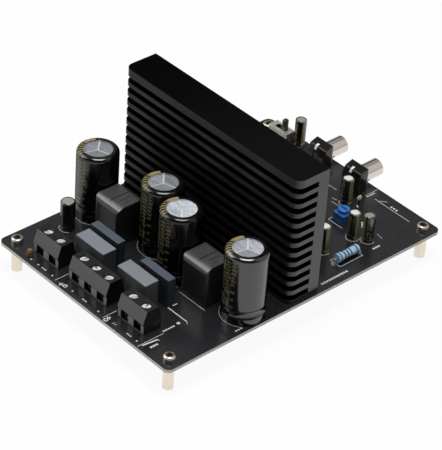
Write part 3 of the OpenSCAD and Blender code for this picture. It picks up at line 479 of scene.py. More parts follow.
@dataclass(frozen=True)
class BlackAnodising(Finish):
    """Dyed aluminium extrusion: die lines along X and saw marks on its two cut ends; painted light makes it
    lighter towards +X, on the cut ends and on the fin noses.
    """

    colour: Colour = (0.0022, 0.0022, 0.0025)
    # painted reflection: lighter colour on the cut ends
    cut_painted_reflection: Colour = (0.014, 0.014, 0.0135)
    roughness: float = 0.36
    gloss: float = 0.02
    cut_coat: float = 0.8
    # painted highlight: lighter colour on the front-facing fin noses
    nose_painted_highlight: Colour = (0.016, 0.016, 0.0165)
    nose_coat: float = 0.20
    coat_roughness: float = 0.30
    coat_ior: float = 1.7
    cut_facing: Span = (0.15, 1.0)
    nose_facing: Span = (-0.6, -1.0)
    # painted light: a brightness ramp along X
    light_ramp_span: Span = (-50.0, 60.0)
    light_ramp_gain: Span = (0.1, 2.7)
    cloud_scale: float = 0.06
    cloud_share: float = 0.2
    die_lines: Place = (0.015, 2.2, 2.2)
    saw_lines: Place = (0.5, 0.35, 4.0)
    line_depth: float = 0.02
    rough_swing: float = 0.2
    edge: float = 0.6

    def paint(self, graph: Graph) -> None:
        """Dark colour that is lighter towards +X and on cut ends and fin noses as painted light, with lines
        in roughness and normal.

        Args:
            graph: The material's graph.
        """
        across, front, _ = graph.facing()
        along, _, _ = graph.place()
        cut = abs(across).fade(*self.cut_facing)
        nose = front.fade(*self.nose_facing)
        die = graph.noise(1.0, 3.0, self.die_lines)
        saw = graph.noise(1.0, 2.0, self.saw_lines)
        cloud = graph.noise(self.cloud_scale, 3.0)
        # painted light: the colour runs lighter towards +X, a painted gradient of light
        light_ramp = along.fade(*self.light_ramp_span) * (1 - self.cloud_share) + cloud * self.cloud_share
        dye_and_light_ramp = graph.vary(light_ramp, self.colour, *self.light_ramp_gain)
        lines = die * (1 - cut) + saw * cut
        # painted reflection on the cut ends and painted highlight on the fin noses
        graph.surface(
            Base_Color=graph.mix(cut, graph.mix(nose, dye_and_light_ramp, self.nose_painted_highlight), self.cut_painted_reflection),
            Roughness=lines.swing(self.roughness, self.rough_swing),
            Specular_IOR_Level=self.gloss,
            Coat_Weight=(cut * self.cut_coat).either(nose * self.nose_coat),
            Coat_Roughness=self.coat_roughness,
            Coat_IOR=self.coat_ior,
            Normal=graph.relief(lines, self.line_depth, graph.soft_edges(self.edge)),
        )


@dataclass(frozen=True)
class SolderMask(Finish):
    """Black lacquer over copper fields, with a layered laminate at the board's edges."""

    middle_z: float
    half_t: float
    mask: Colour = (0.0115, 0.0118, 0.0132)
    copper: Colour = (0.0155, 0.0160, 0.0180)
    laminate: Colour = (0.68, 0.66, 0.59)
    lacquer_t: float = 0.12
    patch_scale: float = 0.06
    patch_gap: Span = (0.03, 0.048)
    flat_facing: Span = (0.4, 0.6)
    patch_spread: float = 0.8
    grain_scale: float = 3.0
    grain_share: float = 0.15
    cloud_scale: float = 0.03
    cloud_share: float = 0.5
    layer_lines: Place = (0.15, 0.15, 6.0)
    layer_gain: Span = (0.72, 1.12)
    rim_cover: float = 0.75
    relief: float = 0.02
    side_roughness: float = 0.62
    lacquer_roughness: float = 0.22
    rough_swing: float = 0.1

    def paint(self, graph: Graph) -> None:
        """Copper fields as low plateaus under the lacquer, and pale laminate on upright faces.

        Args:
            graph: The material's graph.
        """
        _, _, up = graph.facing()
        _, _, z = graph.place()
        flat = abs(up).fade(*self.flat_facing)
        near, beyond = (
            Wire(graph, graph.node(
                "ShaderNodeTexVoronoi",
                {"feature": feature, "distance": "CHEBYCHEV", "voronoi_dimensions": "2D"},
                {"Vector": graph.millimetres(), "Scale": self.patch_scale, "Randomness": self.patch_spread},
            ).outputs["Distance"])
            for feature in ("F1", "F2")
        )
        plateau = (beyond - near).fade(*self.patch_gap)
        grain = graph.noise(self.grain_scale, 3.0)
        cloud = graph.noise(self.cloud_scale, 2.0)
        lacquer = graph.mix(cloud * self.cloud_share, graph.mix(plateau, self.mask, self.copper), self.mask)
        layers = graph.noise(1.0, 2.0, self.layer_lines)
        side = graph.vary(layers, self.laminate, *self.layer_gain)
        rim = abs(z - self.middle_z).fade(self.half_t - 2 * self.lacquer_t, self.half_t - self.lacquer_t)
        side = graph.mix(rim * self.rim_cover, side, self.copper)
        roughness = flat.between(self.side_roughness, self.lacquer_roughness)
        graph.surface(
            Base_Color=graph.mix(flat, side, lacquer),
            Roughness=grain.swing(roughness, self.rough_swing),
            Normal=graph.relief(plateau + grain * self.grain_share, self.relief),
        )


@dataclass(frozen=True)
class Sleeve(Finish):
    """Printed shrink sleeve round an upright can: a polarity stripe and columns of plain bars."""

    centre: Point
    base_z: float
    height: float
    colour: Colour = (0.0032, 0.0030, 0.0028)
    stripe_ink: Colour = (0.34, 0.27, 0.115)
    print_ink: Colour = (0.125, 0.112, 0.052)
    stripe_turn: float = 170.0
    stripe_half: float = 20.0
    print_turn: float = -92.0
    columns: tuple[Span, ...] = ((-3.6, 1.3), (-0.6, 1.5), (2.4, 1.2))
    bar_pitch: float = 1.9
    bar_fill: float = 0.72
    print_low: Span = (0.14, 0.15)
    print_high: Span = (0.93, 0.92)
    roughness: float = 0.5
    coat_roughness: float = 0.16
    coat_ior: float = 1.8
    coat_loss: Span = (0.62, 0.92)
    gloss: float = 1.0
    rim_h: float = 0.0
    rim_span: Span = (-176.0, -100.0)
    rim_pitch: float = 13.0
    rim_fill: float = 0.55
    wear_scale: float = 1.4
    wear_span: Span = (0.2, 0.5)
    print_cover: Span = (0.45, 0.90)
    stripe_cover: Span = (0.60, 0.95)
    rim_cover: Span = (0.20, 0.65)
    stripe_dull: float = 0.3
    stripe_soft: float = 0.03
    fold_lines: Place = (1.1, 1.1, 0.05)
    fold_depth: float = 0.03
    rough_swing: float = 0.06

    def paint(self, graph: Graph) -> None:
        """Gloss black with ink, and the faint upright wrinkles of the shrinking.

        Args:
            graph: The material's graph.
        """
        x, y, z = graph.place()
        dx, dy = x - self.centre[0], y - self.centre[1]
        reach = (dx * dx + dy * dy).root()
        stripe = math.radians(self.stripe_turn)
        toward = (dx * math.cos(stripe) + dy * math.sin(stripe)) / reach
        edge = math.radians(self.stripe_half)
        striped = toward.fade(math.cos(edge + self.stripe_soft), math.cos(edge - self.stripe_soft))
        climb = z - self.base_z
        printed = self._print(graph, dx, dy, climb)
        whole = graph.noise(self.wear_scale, 3.0).fade(*self.wear_span)
        folds = graph.noise(1.0, 2.0, self.fold_lines)
        colour = graph.mix(printed * whole.between(*self.print_cover), self.colour, self.print_ink)
        if self.rim_h:
            marked = self._rim(graph, dx, dy, climb)
            colour = graph.mix(marked * whole.between(*self.rim_cover), colour, self.stripe_ink)
        coat = 1 - graph.grazing().fade(*self.coat_loss)
        graph.surface(
            Base_Color=graph.mix(striped * whole.between(*self.stripe_cover), colour, self.stripe_ink),
            Roughness=folds.swing(self.roughness, self.rough_swing),
            Specular_IOR_Level=0.0,
            Coat_Weight=coat * (1 - striped * self.stripe_dull) * self.gloss,
            Coat_Roughness=self.coat_roughness,
            Coat_IOR=self.coat_ior,
            Normal=graph.relief(folds, self.fold_depth),
        )

    def _rim(self, graph: Graph, dx: Wire, dy: Wire, climb: Wire) -> Wire:
        """Mask of the short marks on the rolled rim.

        Args:
            graph: The material's graph.
            dx: Place right of the can's axis.
            dy: Place behind the can's axis.
            climb: Height above the board.

        Returns:
            1 on the marks, else 0.
        """
        turn = graph.math("ARCTAN2", dy, dx) * math.degrees(1.0)
        low, high = self.rim_span
        spaced = (turn / self.rim_pitch + 40.0).fraction() < self.rim_fill
        return spaced * (turn > low) * (turn < high) * (climb > self.height - self.rim_h)

    def _print(self, graph: Graph, dx: Wire, dy: Wire, climb: Wire) -> Wire:
        """Mask of the printed columns.

        Args:
            graph: The material's graph.
            dx: Place right of the can's axis.
            dy: Place behind the can's axis.
            climb: Height above the board.

        Returns:
            1 on the bars, else 0.
        """
        turn = math.radians(self.print_turn)
        front = (dx * math.cos(turn) + dy * math.sin(turn)) > 0
        along = dy * math.cos(turn) - dx * math.sin(turn)
        share = climb / self.height
        inside = share.fade(*self.print_low) * share.fade(*self.print_high)
        row = climb / self.bar_pitch
        total = front * 0.0
        for place, (column, half) in enumerate(self.columns):
            shifted = row + 0.37 * place
            lucky = graph.chance(shifted.floor() + 31.0 * (place + 1))
            bar = abs(along - column - (lucky - 0.5) * 0.4) < half * (0.6 + lucky * 0.4)
            shown = (shifted.fraction() < self.bar_fill * (0.7 + lucky * 0.3)) * (lucky > 0.12)
            total = total + bar * shown
        return total * front * inside


@dataclass(frozen=True)
class CanTop(Finish):
    """Bare stamped aluminium whose three vent sectors are painted at different brightness for the light each
    catches, with painted highlights on the score lines.
    """

    centre: Point
    first_turn: float
    sector_light: tuple[float, float, float]
    cast: Colour = (0.96, 1.0, 1.10)
    dull: float = 0.58
    # painted highlight: colour of the bright score lines
    score: Colour = (0.90, 0.91, 0.95)
    score_half: float = 0.18
    score_soft: float = 0.35
    score_share: float = 0.6
    sector: float = 120.0
    sector_edge: Span = (0.47, 0.53)
    grain_scale: float = 2.2
    grain_share: float = 0.4
    streak_scale: float = 0.55
    streak_lines: Place = (0.5, 2.2, 1.0)
    wear_span: Span = (0.34, 0.56)
    metallic: float = 0.25
    roughness: float = 0.40
    rough_swing: float = 0.25
    relief: float = 0.02

    def paint(self, graph: Graph) -> None:
        """Painted light: a brightness for each sector and painted highlights on the score lines, with a fine
        rolled grain.

        Args:
            graph: The material's graph.
        """
        x, y, _ = graph.place()
        dx, dy = x - self.centre[0], y - self.centre[1]
        # painted light: each vent sector gets its own brightness
        colour: Any = tint(self.cast, self.sector_light[0])
        for step, tone in enumerate(self.sector_light[1:], 1):
            middle = math.radians(self.first_turn + self.sector * (step + 0.5))
            toward = (dx * math.cos(middle) + dy * math.sin(middle)) / (dx * dx + dy * dy + 0.01).root()
            colour = graph.mix(toward.fade(*self.sector_edge), colour, tint(self.cast, tone))
        grain = graph.noise(self.grain_scale, 4.0)
        streak = graph.noise(self.streak_scale, 4.0, self.streak_lines)
        worn = graph.mix(self.dull, (0.0, 0.0, 0.0), colour)
        bright = grain * self.grain_share + streak * (1 - self.grain_share)
        colour = graph.mix(bright.fade(*self.wear_span), worn, colour)
        # painted highlight: the score lines are painted bright
        for step in range(len(self.sector_light)):
            turn = math.radians(self.first_turn + self.sector * step)
            off = abs(dx * math.sin(turn) - dy * math.cos(turn))
            near = off.fade(self.score_half + self.score_soft, self.score_half)
            ahead = (dx * math.cos(turn) + dy * math.sin(turn)) > 0
            colour = graph.mix(near * ahead * self.score_share, colour, self.score)
        graph.surface(
            Base_Color=colour,
            Metallic=self.metallic,
            Roughness=grain.swing(self.roughness, self.rough_swing),
            Normal=graph.relief(grain, self.relief),
        )


@dataclass(frozen=True)
class BandedLacquer(Finish):
    """Glossy lacquer on an axial part along Y, with colour bands."""

    middle_y: float
    colour: Colour = (0.33, 0.57, 0.79)
    bands: tuple[tuple[float, Colour], ...] = (
        (-4.8, (0.10, 0.03, 0.01)),
        (-2.4, (0.012, 0.012, 0.012)),
        (-0.6, (0.012, 0.012, 0.012)),
        (1.2, (0.10, 0.03, 0.01)),
        (4.6, (0.09, 0.025, 0.01)),
    )
    band_half: float = 0.42
    band_soft: float = 0.08
    band_cover: float = 0.92
    cloud_scale: float = 0.8
    cloud_gain: Span = (0.85, 1.2)
    roughness: Span = (0.22, 0.34)
    dip_scale: float = 0.9
    dip_depth: float = 0.06

    def paint(self, graph: Graph) -> None:
        """Bands over the lacquer, with the soft dips and runs of a dipped coat.

        Args:
            graph: The material's graph.
        """
        _, y, _ = graph.place()
        cloud = graph.noise(self.cloud_scale, 2.0)
        colour = graph.vary(cloud, self.colour, *self.cloud_gain)
        for offset, ink in self.bands:
            off = abs(y - (self.middle_y + offset))
            near = off.fade(self.band_half + self.band_soft, self.band_half - self.band_soft)
            colour = graph.mix(near * self.band_cover, colour, ink)
        graph.surface(
            Base_Color=colour,
            Roughness=cloud.between(*self.roughness),
            Normal=graph.relief(graph.noise(self.dip_scale, 1.0), self.dip_depth),
        )


@dataclass(frozen=True)
class AmberLens(Finish):
    """Tinted clear moulding of the lamp."""

    colour: Colour = (0.17, 0.105, 0.045)
    cloud_scale: float = 1.2
    cloud_gain: Span = (0.8, 1.15)
    roughness: Span = (0.12, 0.22)
    clear: float = 0.25
    ior: float = 1.5

    def paint(self, graph: Graph) -> None:
        """Amber that is clearer in patches.

        Args:
            graph: The material's graph.
        """
        cloud = graph.noise(self.cloud_scale, 2.0)
        graph.surface(
            Base_Color=graph.vary(cloud, self.colour, *self.cloud_gain),
            Roughness=cloud.between(*self.roughness),
            Transmission_Weight=self.clear,
            IOR=self.ior,
        )


@dataclass(frozen=True)
class PrintedInk(Finish):
    """White screen print with ragged cover."""

    colour: Colour = (0.62, 0.62, 0.60)
    ground: Colour = (0.10, 0.10, 0.10)
    mesh_scale: float = 2.6
    mesh_span: Span = (0.22, 0.42)
    roughness: Span = (0.55, 0.70)

    def paint(self, graph: Graph) -> None:
        """Ink that thins where the mesh of the screen left it.

        Args:
            graph: The material's graph.
        """
        cover = graph.noise(self.mesh_scale, 3.0).fade(*self.mesh_span)
        graph.surface(
            Base_Color=graph.mix(cover, self.ground, self.colour),
            Roughness=cover.between(*self.roughness),
        )


class Tone(Enum):
    """Finishes that are the same wherever they are used."""

    NICKEL = Plating("nickel", (0.84, 0.75, 0.64), 0.34, (1.0, 1.0, 0.2), (0.72, 0.62, 0.48), 0.35)
    SCREW = Plating("screw_steel", (0.58, 0.53, 0.48), 0.34, (1.0, 1.0, 0.4), (0.42, 0.30, 0.20), 0.45)
    CLAMP = Plating("clamp_steel", (0.80, 0.83, 0.88), 0.36, (1.0, 1.0, 0.4), (0.55, 0.57, 0.62), 0.3, 0.35)
    CAGE = Plating("cage_metal", (0.66, 0.63, 0.56), 0.34, (0.3, 1.0, 1.0))
    SHELL = Plating("shell_plate", (0.68, 0.63, 0.575), 0.18, (1.0, 0.2, 1.0), (0.62, 0.58, 0.50), 0.2)
    BRASS = Plating("contact_brass", (0.78, 0.62, 0.30), 0.28, (1.0, 0.3, 1.0))
    FRAME = Plating("frame_metal", (0.80, 0.76, 0.68), 0.40, (0.3, 1.0, 1.0), (0.40, 0.36, 0.28), 0.3)
    TIN = Plating("tinned_lead", (0.72, 0.73, 0.74), 0.28, (1.0, 1.0, 0.3), (0.50, 0.50, 0.48), 0.2)
    SOLDER = Plating("solder", (0.74, 0.75, 0.77), 0.20, (1.0, 1.0, 1.0), (0.48, 0.49, 0.50), 0.3)
    TAB = Plating("transistor_tab", (0.62, 0.62, 0.61), 0.34, (0.3, 1.0, 1.0), (0.45, 0.42, 0.36), 0.25)
    ANODISED = BlackAnodising("black_anodised")
    EPOXY = Moulding("chip_moulding", (0.018, 0.018, 0.019), 0.52, 6.0, 0.010, 0.15, 0.15)
    PAD = Moulding("pad_grey", (0.30, 0.34, 0.39), 0.65, 3.0, 0.02, 0.1, 0.05)
    # the last number of the coil and film finishes paints their tops lighter: painted light
    COIL = Moulding("coil_grey", (0.016, 0.017, 0.016), 0.32, 3.0, 0.010, 0.18, 0.3, 0.8, 3.0)
    FILM_THICK = Moulding("film_grey", (0.085, 0.090, 0.100), 0.50, 3.5, 0.012, 0.06, 0.15, 0.3, 2.45)
    FILM_THIN = Moulding("film_slate", (0.034, 0.042, 0.052), 0.48, 3.5, 0.012, 0.08, 0.15, 0.3, 2.2)
    SOCKET = Moulding("socket_black", (0.0055, 0.0045, 0.0038), 0.14, 3.0, 0.004, 0.2, 0.9)
    INSULATOR = Moulding("insulator_white", (0.78, 0.77, 0.73), 0.5)
    LEVER = Moulding("switch_black", (0.016, 0.016, 0.016), 0.4, 6.0, 0.008, 0.15, 0.15)
    TRIMMER = Moulding("trimmer_blue", (0.018, 0.100, 0.330), 0.34, 5.0, 0.008, 0.12, 0.25)
    ROTOR = Moulding("rotor_blue", (0.030, 0.165, 0.500), 0.36, 5.0, 0.008, 0.12, 0.15)
    DIPPED = Moulding("dipped_tan", (0.46, 0.38, 0.25), 0.30, 1.5, 0.03, 0.2, 0.2)
    CHIP_PART = Moulding("chip_part", (0.05, 0.045, 0.04), 0.5, 6.0, 0.006, 0.3, 0.05)
    BARE_TOP = Plating("small_top", (0.90, 0.90, 0.90), 0.40, (1.0, 1.0, 1.0), (0.60, 0.60, 0.60), 0.3, 0.25)
    # a darker copy of the bare top, used on three of the small cans
    DARKER_TOP = Plating("darker_top", (0.33, 0.33, 0.32), 0.50, (1.0, 1.0, 1.0), (0.20, 0.20, 0.19), 0.3, 0.25)
    # painted shade: a darkened copy of the screw steel for the board screws' drive recesses
    RECESS_SHADE = Plating(
        "recess_painted_shade", (0.085, 0.055, 0.040), 0.45, (1.0, 1.0, 1.0), (0.04, 0.03, 0.02), 0.5, 0.6
    )
    # painted highlight: a bright plate that stands in for the glint on each socket's rounded rear edge
    HIGHLIGHT_PLATE = Plating("painted_highlight_plate", (0.92, 0.91, 0.88), 0.32, (1.0, 1.0, 1.0), (0.7, 0.68, 0.6), 0.2, 0.15)
    MARKING = Moulding("coil_marking", (0.006, 0.006, 0.006), 0.6, 4.0, 0.004, 0.2, 0.05)
    AMBER = AmberLens("lamp_amber")
    INK = PrintedInk("legend_ink")


Zone = tuple[Callable[[Vector], bool], Finish]


def leads(top: float) -> Zone:
    """Tin on the faces below the board's upper face."""
    return (lambda p: p.z < top - LEAD_SLACK), Tone.TIN.value


def dress(node: str, finish: Finish, *zones: Zone) -> str:
    """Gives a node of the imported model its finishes.

    Args:
        node: The node's name.
        finish: The finish of the whole piece.
        zones: Tests on a face's middle in millimetres, each with the finish of the faces that pass.

    Returns:
        The node's name.
    """
    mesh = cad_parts[node].data
    mesh.materials.clear()
    for each in (finish, *(zone[1] for zone in zones)):
        mesh.materials.append(each.material())
    for face in mesh.polygons:
        middle = face.center / MM
        passed = (index for index, (test, _) in enumerate(zones, 1) if test(middle))
        face.material_index = next(passed, 0)
    return node


def box_mm(node: str) -> tuple[Vector, Vector]:
    """Lowest and highest corner of a node, in millimetres."""
    low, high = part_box(node)
    return low / MM, high / MM


def round_mm(node: str) -> tuple[Point, float]:
    """Axis and radius of an upright round node, in millimetres."""
    low, high = box_mm(node)
    return ((low.x + high.x) / 2, (low.y + high.y) / 2), (high.x - low.x) / 2


def solids_mm(node: str) -> list[tuple[Vector, Vector]]:
    """Finds a node's separate solids.

    Args:
        node: The node's name.

    Returns:
        The lowest and highest corner of each solid, in millimetres.
    """
    work = bmesh.new()
    work.from_mesh(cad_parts[node].data)
    bmesh.ops.remove_doubles(work, verts=work.verts, dist=1e-6)
    left = set(work.verts)
    boxes = []
    while left:
        queue = [left.pop()]
        points = []
        while queue:
            vert = queue.pop()
            points.append(vert.co / MM)
            near = {edge.other_vert(vert) for edge in vert.link_edges} & left
            left -= near
            queue += near
        corners = [Vector(pick(p[axis] for p in points) for axis in range(3)) for pick in (min, max)]
        boxes.append((corners[0], corners[1]))
    work.free()
    return boxes


def middle_mm(node: str) -> Vector:
    """Middle of a node's box, in millimetres."""
    low, high = box_mm(node)
    return (low + high) / 2


def as_piece(name: str, mesh: bmesh.types.BMesh, finish: Finish) -> bpy.types.Object:
    """Turns a closed mesh into a piece that rides on the board.

    Args:
        name: The piece's name.
        mesh: Its mesh, which is freed.
        finish: Its finish.

    Returns:
        The new object.
    """
    bmesh.ops.recalc_face_normals(mesh, faces=mesh.faces)
    data = bpy.data.meshes.new(name)
    mesh.to_mesh(data)
    mesh.free()
    data.materials.append(finish.material())
    made = bpy.data.objects.new(name, data)
    bpy.context.scene.collection.objects.link(made)
    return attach(made, ROOT_BODY)


def sweep(
    mesh: bmesh.types.BMesh, rows: Sequence[Sequence[bmesh.types.BMVert]], closed: bool = False
) -> None:
    """Skins rows of four corners into a bar.

    Args:
        mesh: The mesh that holds the corners.
        rows: The corners of each cross-section, in order along the bar.
        closed: Whether the last row joins the first. Otherwise both ends get a cap.
    """
    after = [*rows[1:], rows[0]] if closed else rows[1:]
    for here, there in zip(rows, after):
        for a in range(4):
            b = (a + 1) % 4
            mesh.faces.new((here[a], there[a], there[b], here[b]))
    if not closed:
        mesh.faces.new(rows[0])
        mesh.faces.new(rows[-1][::-1])


class FlatWork:
    """Collects thin closed plates on a plane into one mesh."""

    def __init__(self, low: float, high: float) -> None:
        """Starts an empty collection.

        Args:
            low: Height of the plates' undersides, in millimetres.
            high: Height of their tops.
        """
        self.low = low
        self.high = high
        self.mesh = bmesh.new()

    def plate(self, outline: Iterable[Point]) -> None:
        """Adds one plate.

        Args:
            outline: Its corners, convex and anticlockwise.
        """
        points = list(outline)
        rings = [
            [self.mesh.verts.new((x * MM, y * MM, z * MM)) for x, y in points]
            for z in (self.low, self.high)
        ]
        self.mesh.faces.new(rings[0][::-1])
        self.mesh.faces.new(rings[1])
        for a in range(len(points)):
            b = (a + 1) % len(points)
            self.mesh.faces.new((rings[0][a], rings[0][b], rings[1][b], rings[1][a]))

    def line(self, start: Point, end: Point, width: float) -> None:
        """Adds a straight line.

        Args:
            start: Its first end.
            end: Its other end.
            width: Its width.
        """
        a, b = Vector(start), Vector(end)
        side = Vector((a.y - b.y, b.x - a.x)).normalized() * width / 2
        self.plate([tuple(p) for p in (a - side, b - side, b + side, a + side)])

    def frame(self, low: Point, high: Point, width: float) -> None:
        """Adds a rectangle's outline whose four lines meet without overlap.

        Args:
            low: Lowest corner of the lines' middles.
            high: Highest corner.
            width: Width of the lines.
        """
        (x0, y0), (x1, y1) = low, high
        half = width / 2
        self.line((x0 - half, y0), (x1 + half, y0), width)
        self.line((x0 - half, y1), (x1 + half, y1), width)
        self.line((x0, y0 + half), (x0, y1 - half), width)
        self.line((x1, y0 + half), (x1, y1 - half), width)

    def arc(
        self, centre: Point, radius: float, width: float, start: float = 0.0, end: float = FULL_TURN
    ) -> None:
        """Adds an arc, as a closed ring where it runs all the way round.

        Args:
            centre: Middle of the arc.
            radius: Radius of the line's middle.
            width: Width of the line.
            start: First angle in degrees.
            end: Last angle in degrees.
        """
        steps = max(ARC_LEAST, int(abs(end - start) / ARC_STEP))
        closed = abs(end - start) >= FULL_TURN
        count = steps if closed else steps + 1
        rows = []
        for step in range(count):
            turn = math.radians(start + (end - start) * step / steps)
            way = Vector((math.cos(turn), math.sin(turn)))
            inner = Vector(centre) + way * (radius - width / 2)
            outer = Vector(centre) + way * (radius + width / 2)
            rows.append([
                self.mesh.verts.new((p.x * MM, p.y * MM, z * MM))
                for p, z in ((inner, self.low), (outer, self.low), (outer, self.high), (inner, self.high))
            ])
        sweep(self.mesh, rows, closed)

    def dashes(self, start: Point, end: Point, width: float, pitch: float, share: float) -> None:
        """Adds a row of plain dashes, which stands where a label would be.

        Args:
            start: First end of the row.
            end: Its other end.
            width: Width of the dashes.
            pitch: About the distance from dash to dash.
            share: Length of a dash as a share of that distance.
        """
        a, b = Vector(start), Vector(end)
        count = max(1, int((b - a).length / pitch))
        for step in range(count):
            low = a.lerp(b, step / count)
            high = a.lerp(b, (step + share) / count)
            self.line(tuple(low), tuple(high), width)

    def plus(self, centre: Point, size: float, width: float) -> None:
        """Adds a plus sign out of three plates.

        Args:
            centre: Its middle.
            size: Length of its bars.
            width: Width of its bars.
        """
        x, y = centre
        half = size / 2
        self.line((x - half, y), (x + half, y), width)
        self.line((x, y + width / 2), (x, y + half), width)
        self.line((x, y - half), (x, y - width / 2), width)

    def finish(self, name: str, finish: Finish) -> bpy.types.Object:
        """Turns the collection into a piece that rides on the board."""
        return as_piece(name, self.mesh, finish)


def folded_strip(
    name: str, x: float, width: float, spine: Sequence[Point], thick: float, finish: Finish
) -> bpy.types.Object:
    """Makes a thin strip that follows a bent line in a plane across X.

    Args:
        name: The piece's name.
        x: Middle of the strip along X, in millimetres.
        width: Its width along X.
        spine: Y and Z along its underside, from front to back.
        thick: Its thickness.
        finish: Its finish.

    Returns:
        The new object, which rides on the board.
    """
    mesh = bmesh.new()
    rows = []
    for place, point in enumerate(spine):
        before, after = spine[max(place - 1, 0)], spine[min(place + 1, len(spine) - 1)]
        along = (Vector(after) - Vector(before)).normalized()
        outer = Vector(point) + Vector((-along.y, along.x)) * thick
        rows.append([
            mesh.verts.new((side * MM, p[0] * MM, p[1] * MM))
            for side, p in (
                (x - width / 2, point), (x + width / 2, point), (x + width / 2, outer), (x - width / 2, outer)
            )
        ])
    sweep(mesh, rows)
    return as_piece(name, mesh, finish)


@dataclass(frozen=True)
class Marks:
    """Printed marks, each a row of places, sizes and the width of its lines.

    Y is measured from a datum that is given when they are drawn.
    """

    lines: tuple[Row, ...]
    dashes: tuple[Row, ...]
    rings: tuple[Row, ...] = ()
    pluses: tuple[Row, ...] = ()

    def draw(self, ink: FlatWork, datum: float) -> None:
        """Adds the marks to a print.

        Args:
            ink: The print.
            datum: Y from which theirs is measured.
        """
        for x0, y0, x1, y1, width in self.lines:
            ink.line((x0, datum + y0), (x1, datum + y1), width)
        for x0, y0, x1, y1, width, pitch, share in self.dashes:
            ink.dashes((x0, datum + y0), (x1, datum + y1), width, pitch, share)
        for x, y, radius, width in self.rings:
            ink.arc((x, datum + y), radius, width)
        for x, y, size, width in self.pluses:
            ink.plus((x, datum + y), size, width)


EDGE_MARKS = Marks(
    lines=(
        (-18.9, 1.6, -18.9, 9.0, THIN), (13.0, 1.6, 13.0, 9.0, THIN), (-18.4, 9.0, -16.6, 7.8, THIN),
        (18.4, 2.0, 18.8, 3.4, THIN), (19.6, 2.0, 20.0, 3.4, THIN), (36.3, 0.6, 36.3, 14.7, THIN),
        (37.0, 2.5, 37.9, 10.2, 0.7), (38.2, 10.4, 38.7, 10.0, BOLD),
    ),
    dashes=(
        *((x - 1.6, 2.7, x + 1.6, 2.7, 0.6, 1.0, 0.7) for x in (-27.7, -0.4, 28.6)),
        (40.1, 4.3, 40.1, 8.6, 1.0, 1.4, 0.8),
    ),
    rings=(
        (-13.2, 2.5, 0.8, BOLD), (14.9, 1.5, 0.8, BOLD),
        *((x, 2.7, 0.3, 0.25) for x in (-36.6, -31.7, -22.1, -8.5, 8.7, 33.4)),
    ),
    pluses=((-15.2, 1.9, 2.2, BOLD), (14.7, 3.2, 2.2, BOLD)),
)
FIELD_MARKS = Marks(
    lines=(
        (24.3, -52.6, 36.6, -52.6, BOLD), (36.9, -52.8, 37.8, -53.5, THIN), (24.7, -50.4, 24.7, -47.8, BOLD),
        (0.8, 64.0, 5.8, 64.2, THIN), (10.7, 56.2, 15.2, 56.2, THIN), (9.0, 58.2, 11.9, 58.8, THIN),
        (19.9, 63.2, 21.4, 62.4, BOLD), (16.9, 71.2, 16.9, 79.2, THIN), (21.4, 73.1, 43.3, 73.1, 0.3),
        (24.0, 73.7, 26.6, 76.0, 0.3), (41.0, 55.0, 44.6, 54.4, THIN),
    ),
    dashes=(
        (35.3, -64.8, 35.3, -58.1, 0.8, 1.3, 0.75), (53.5, -40.8, 53.5, -36.6, 0.7, 1.1, 0.7),
        (18.0, 71.4, 18.0, 76.8, 0.8, 1.1, 0.7), (30.0, 74.6, 34.8, 74.6, 1.1, 1.2, 0.6),
        (47.7, 45.6, 47.7, 50.2, 1.0, 1.3, 0.8), (30.6, 56.0, 33.6, 53.0, 0.8, 1.2, 0.7),
        (52.2, 10.0, 52.2, 26.0, 1.1, 1.45, 0.74),
    ),
    rings=((35.0, -56.0, 0.5, 0.6),),
)


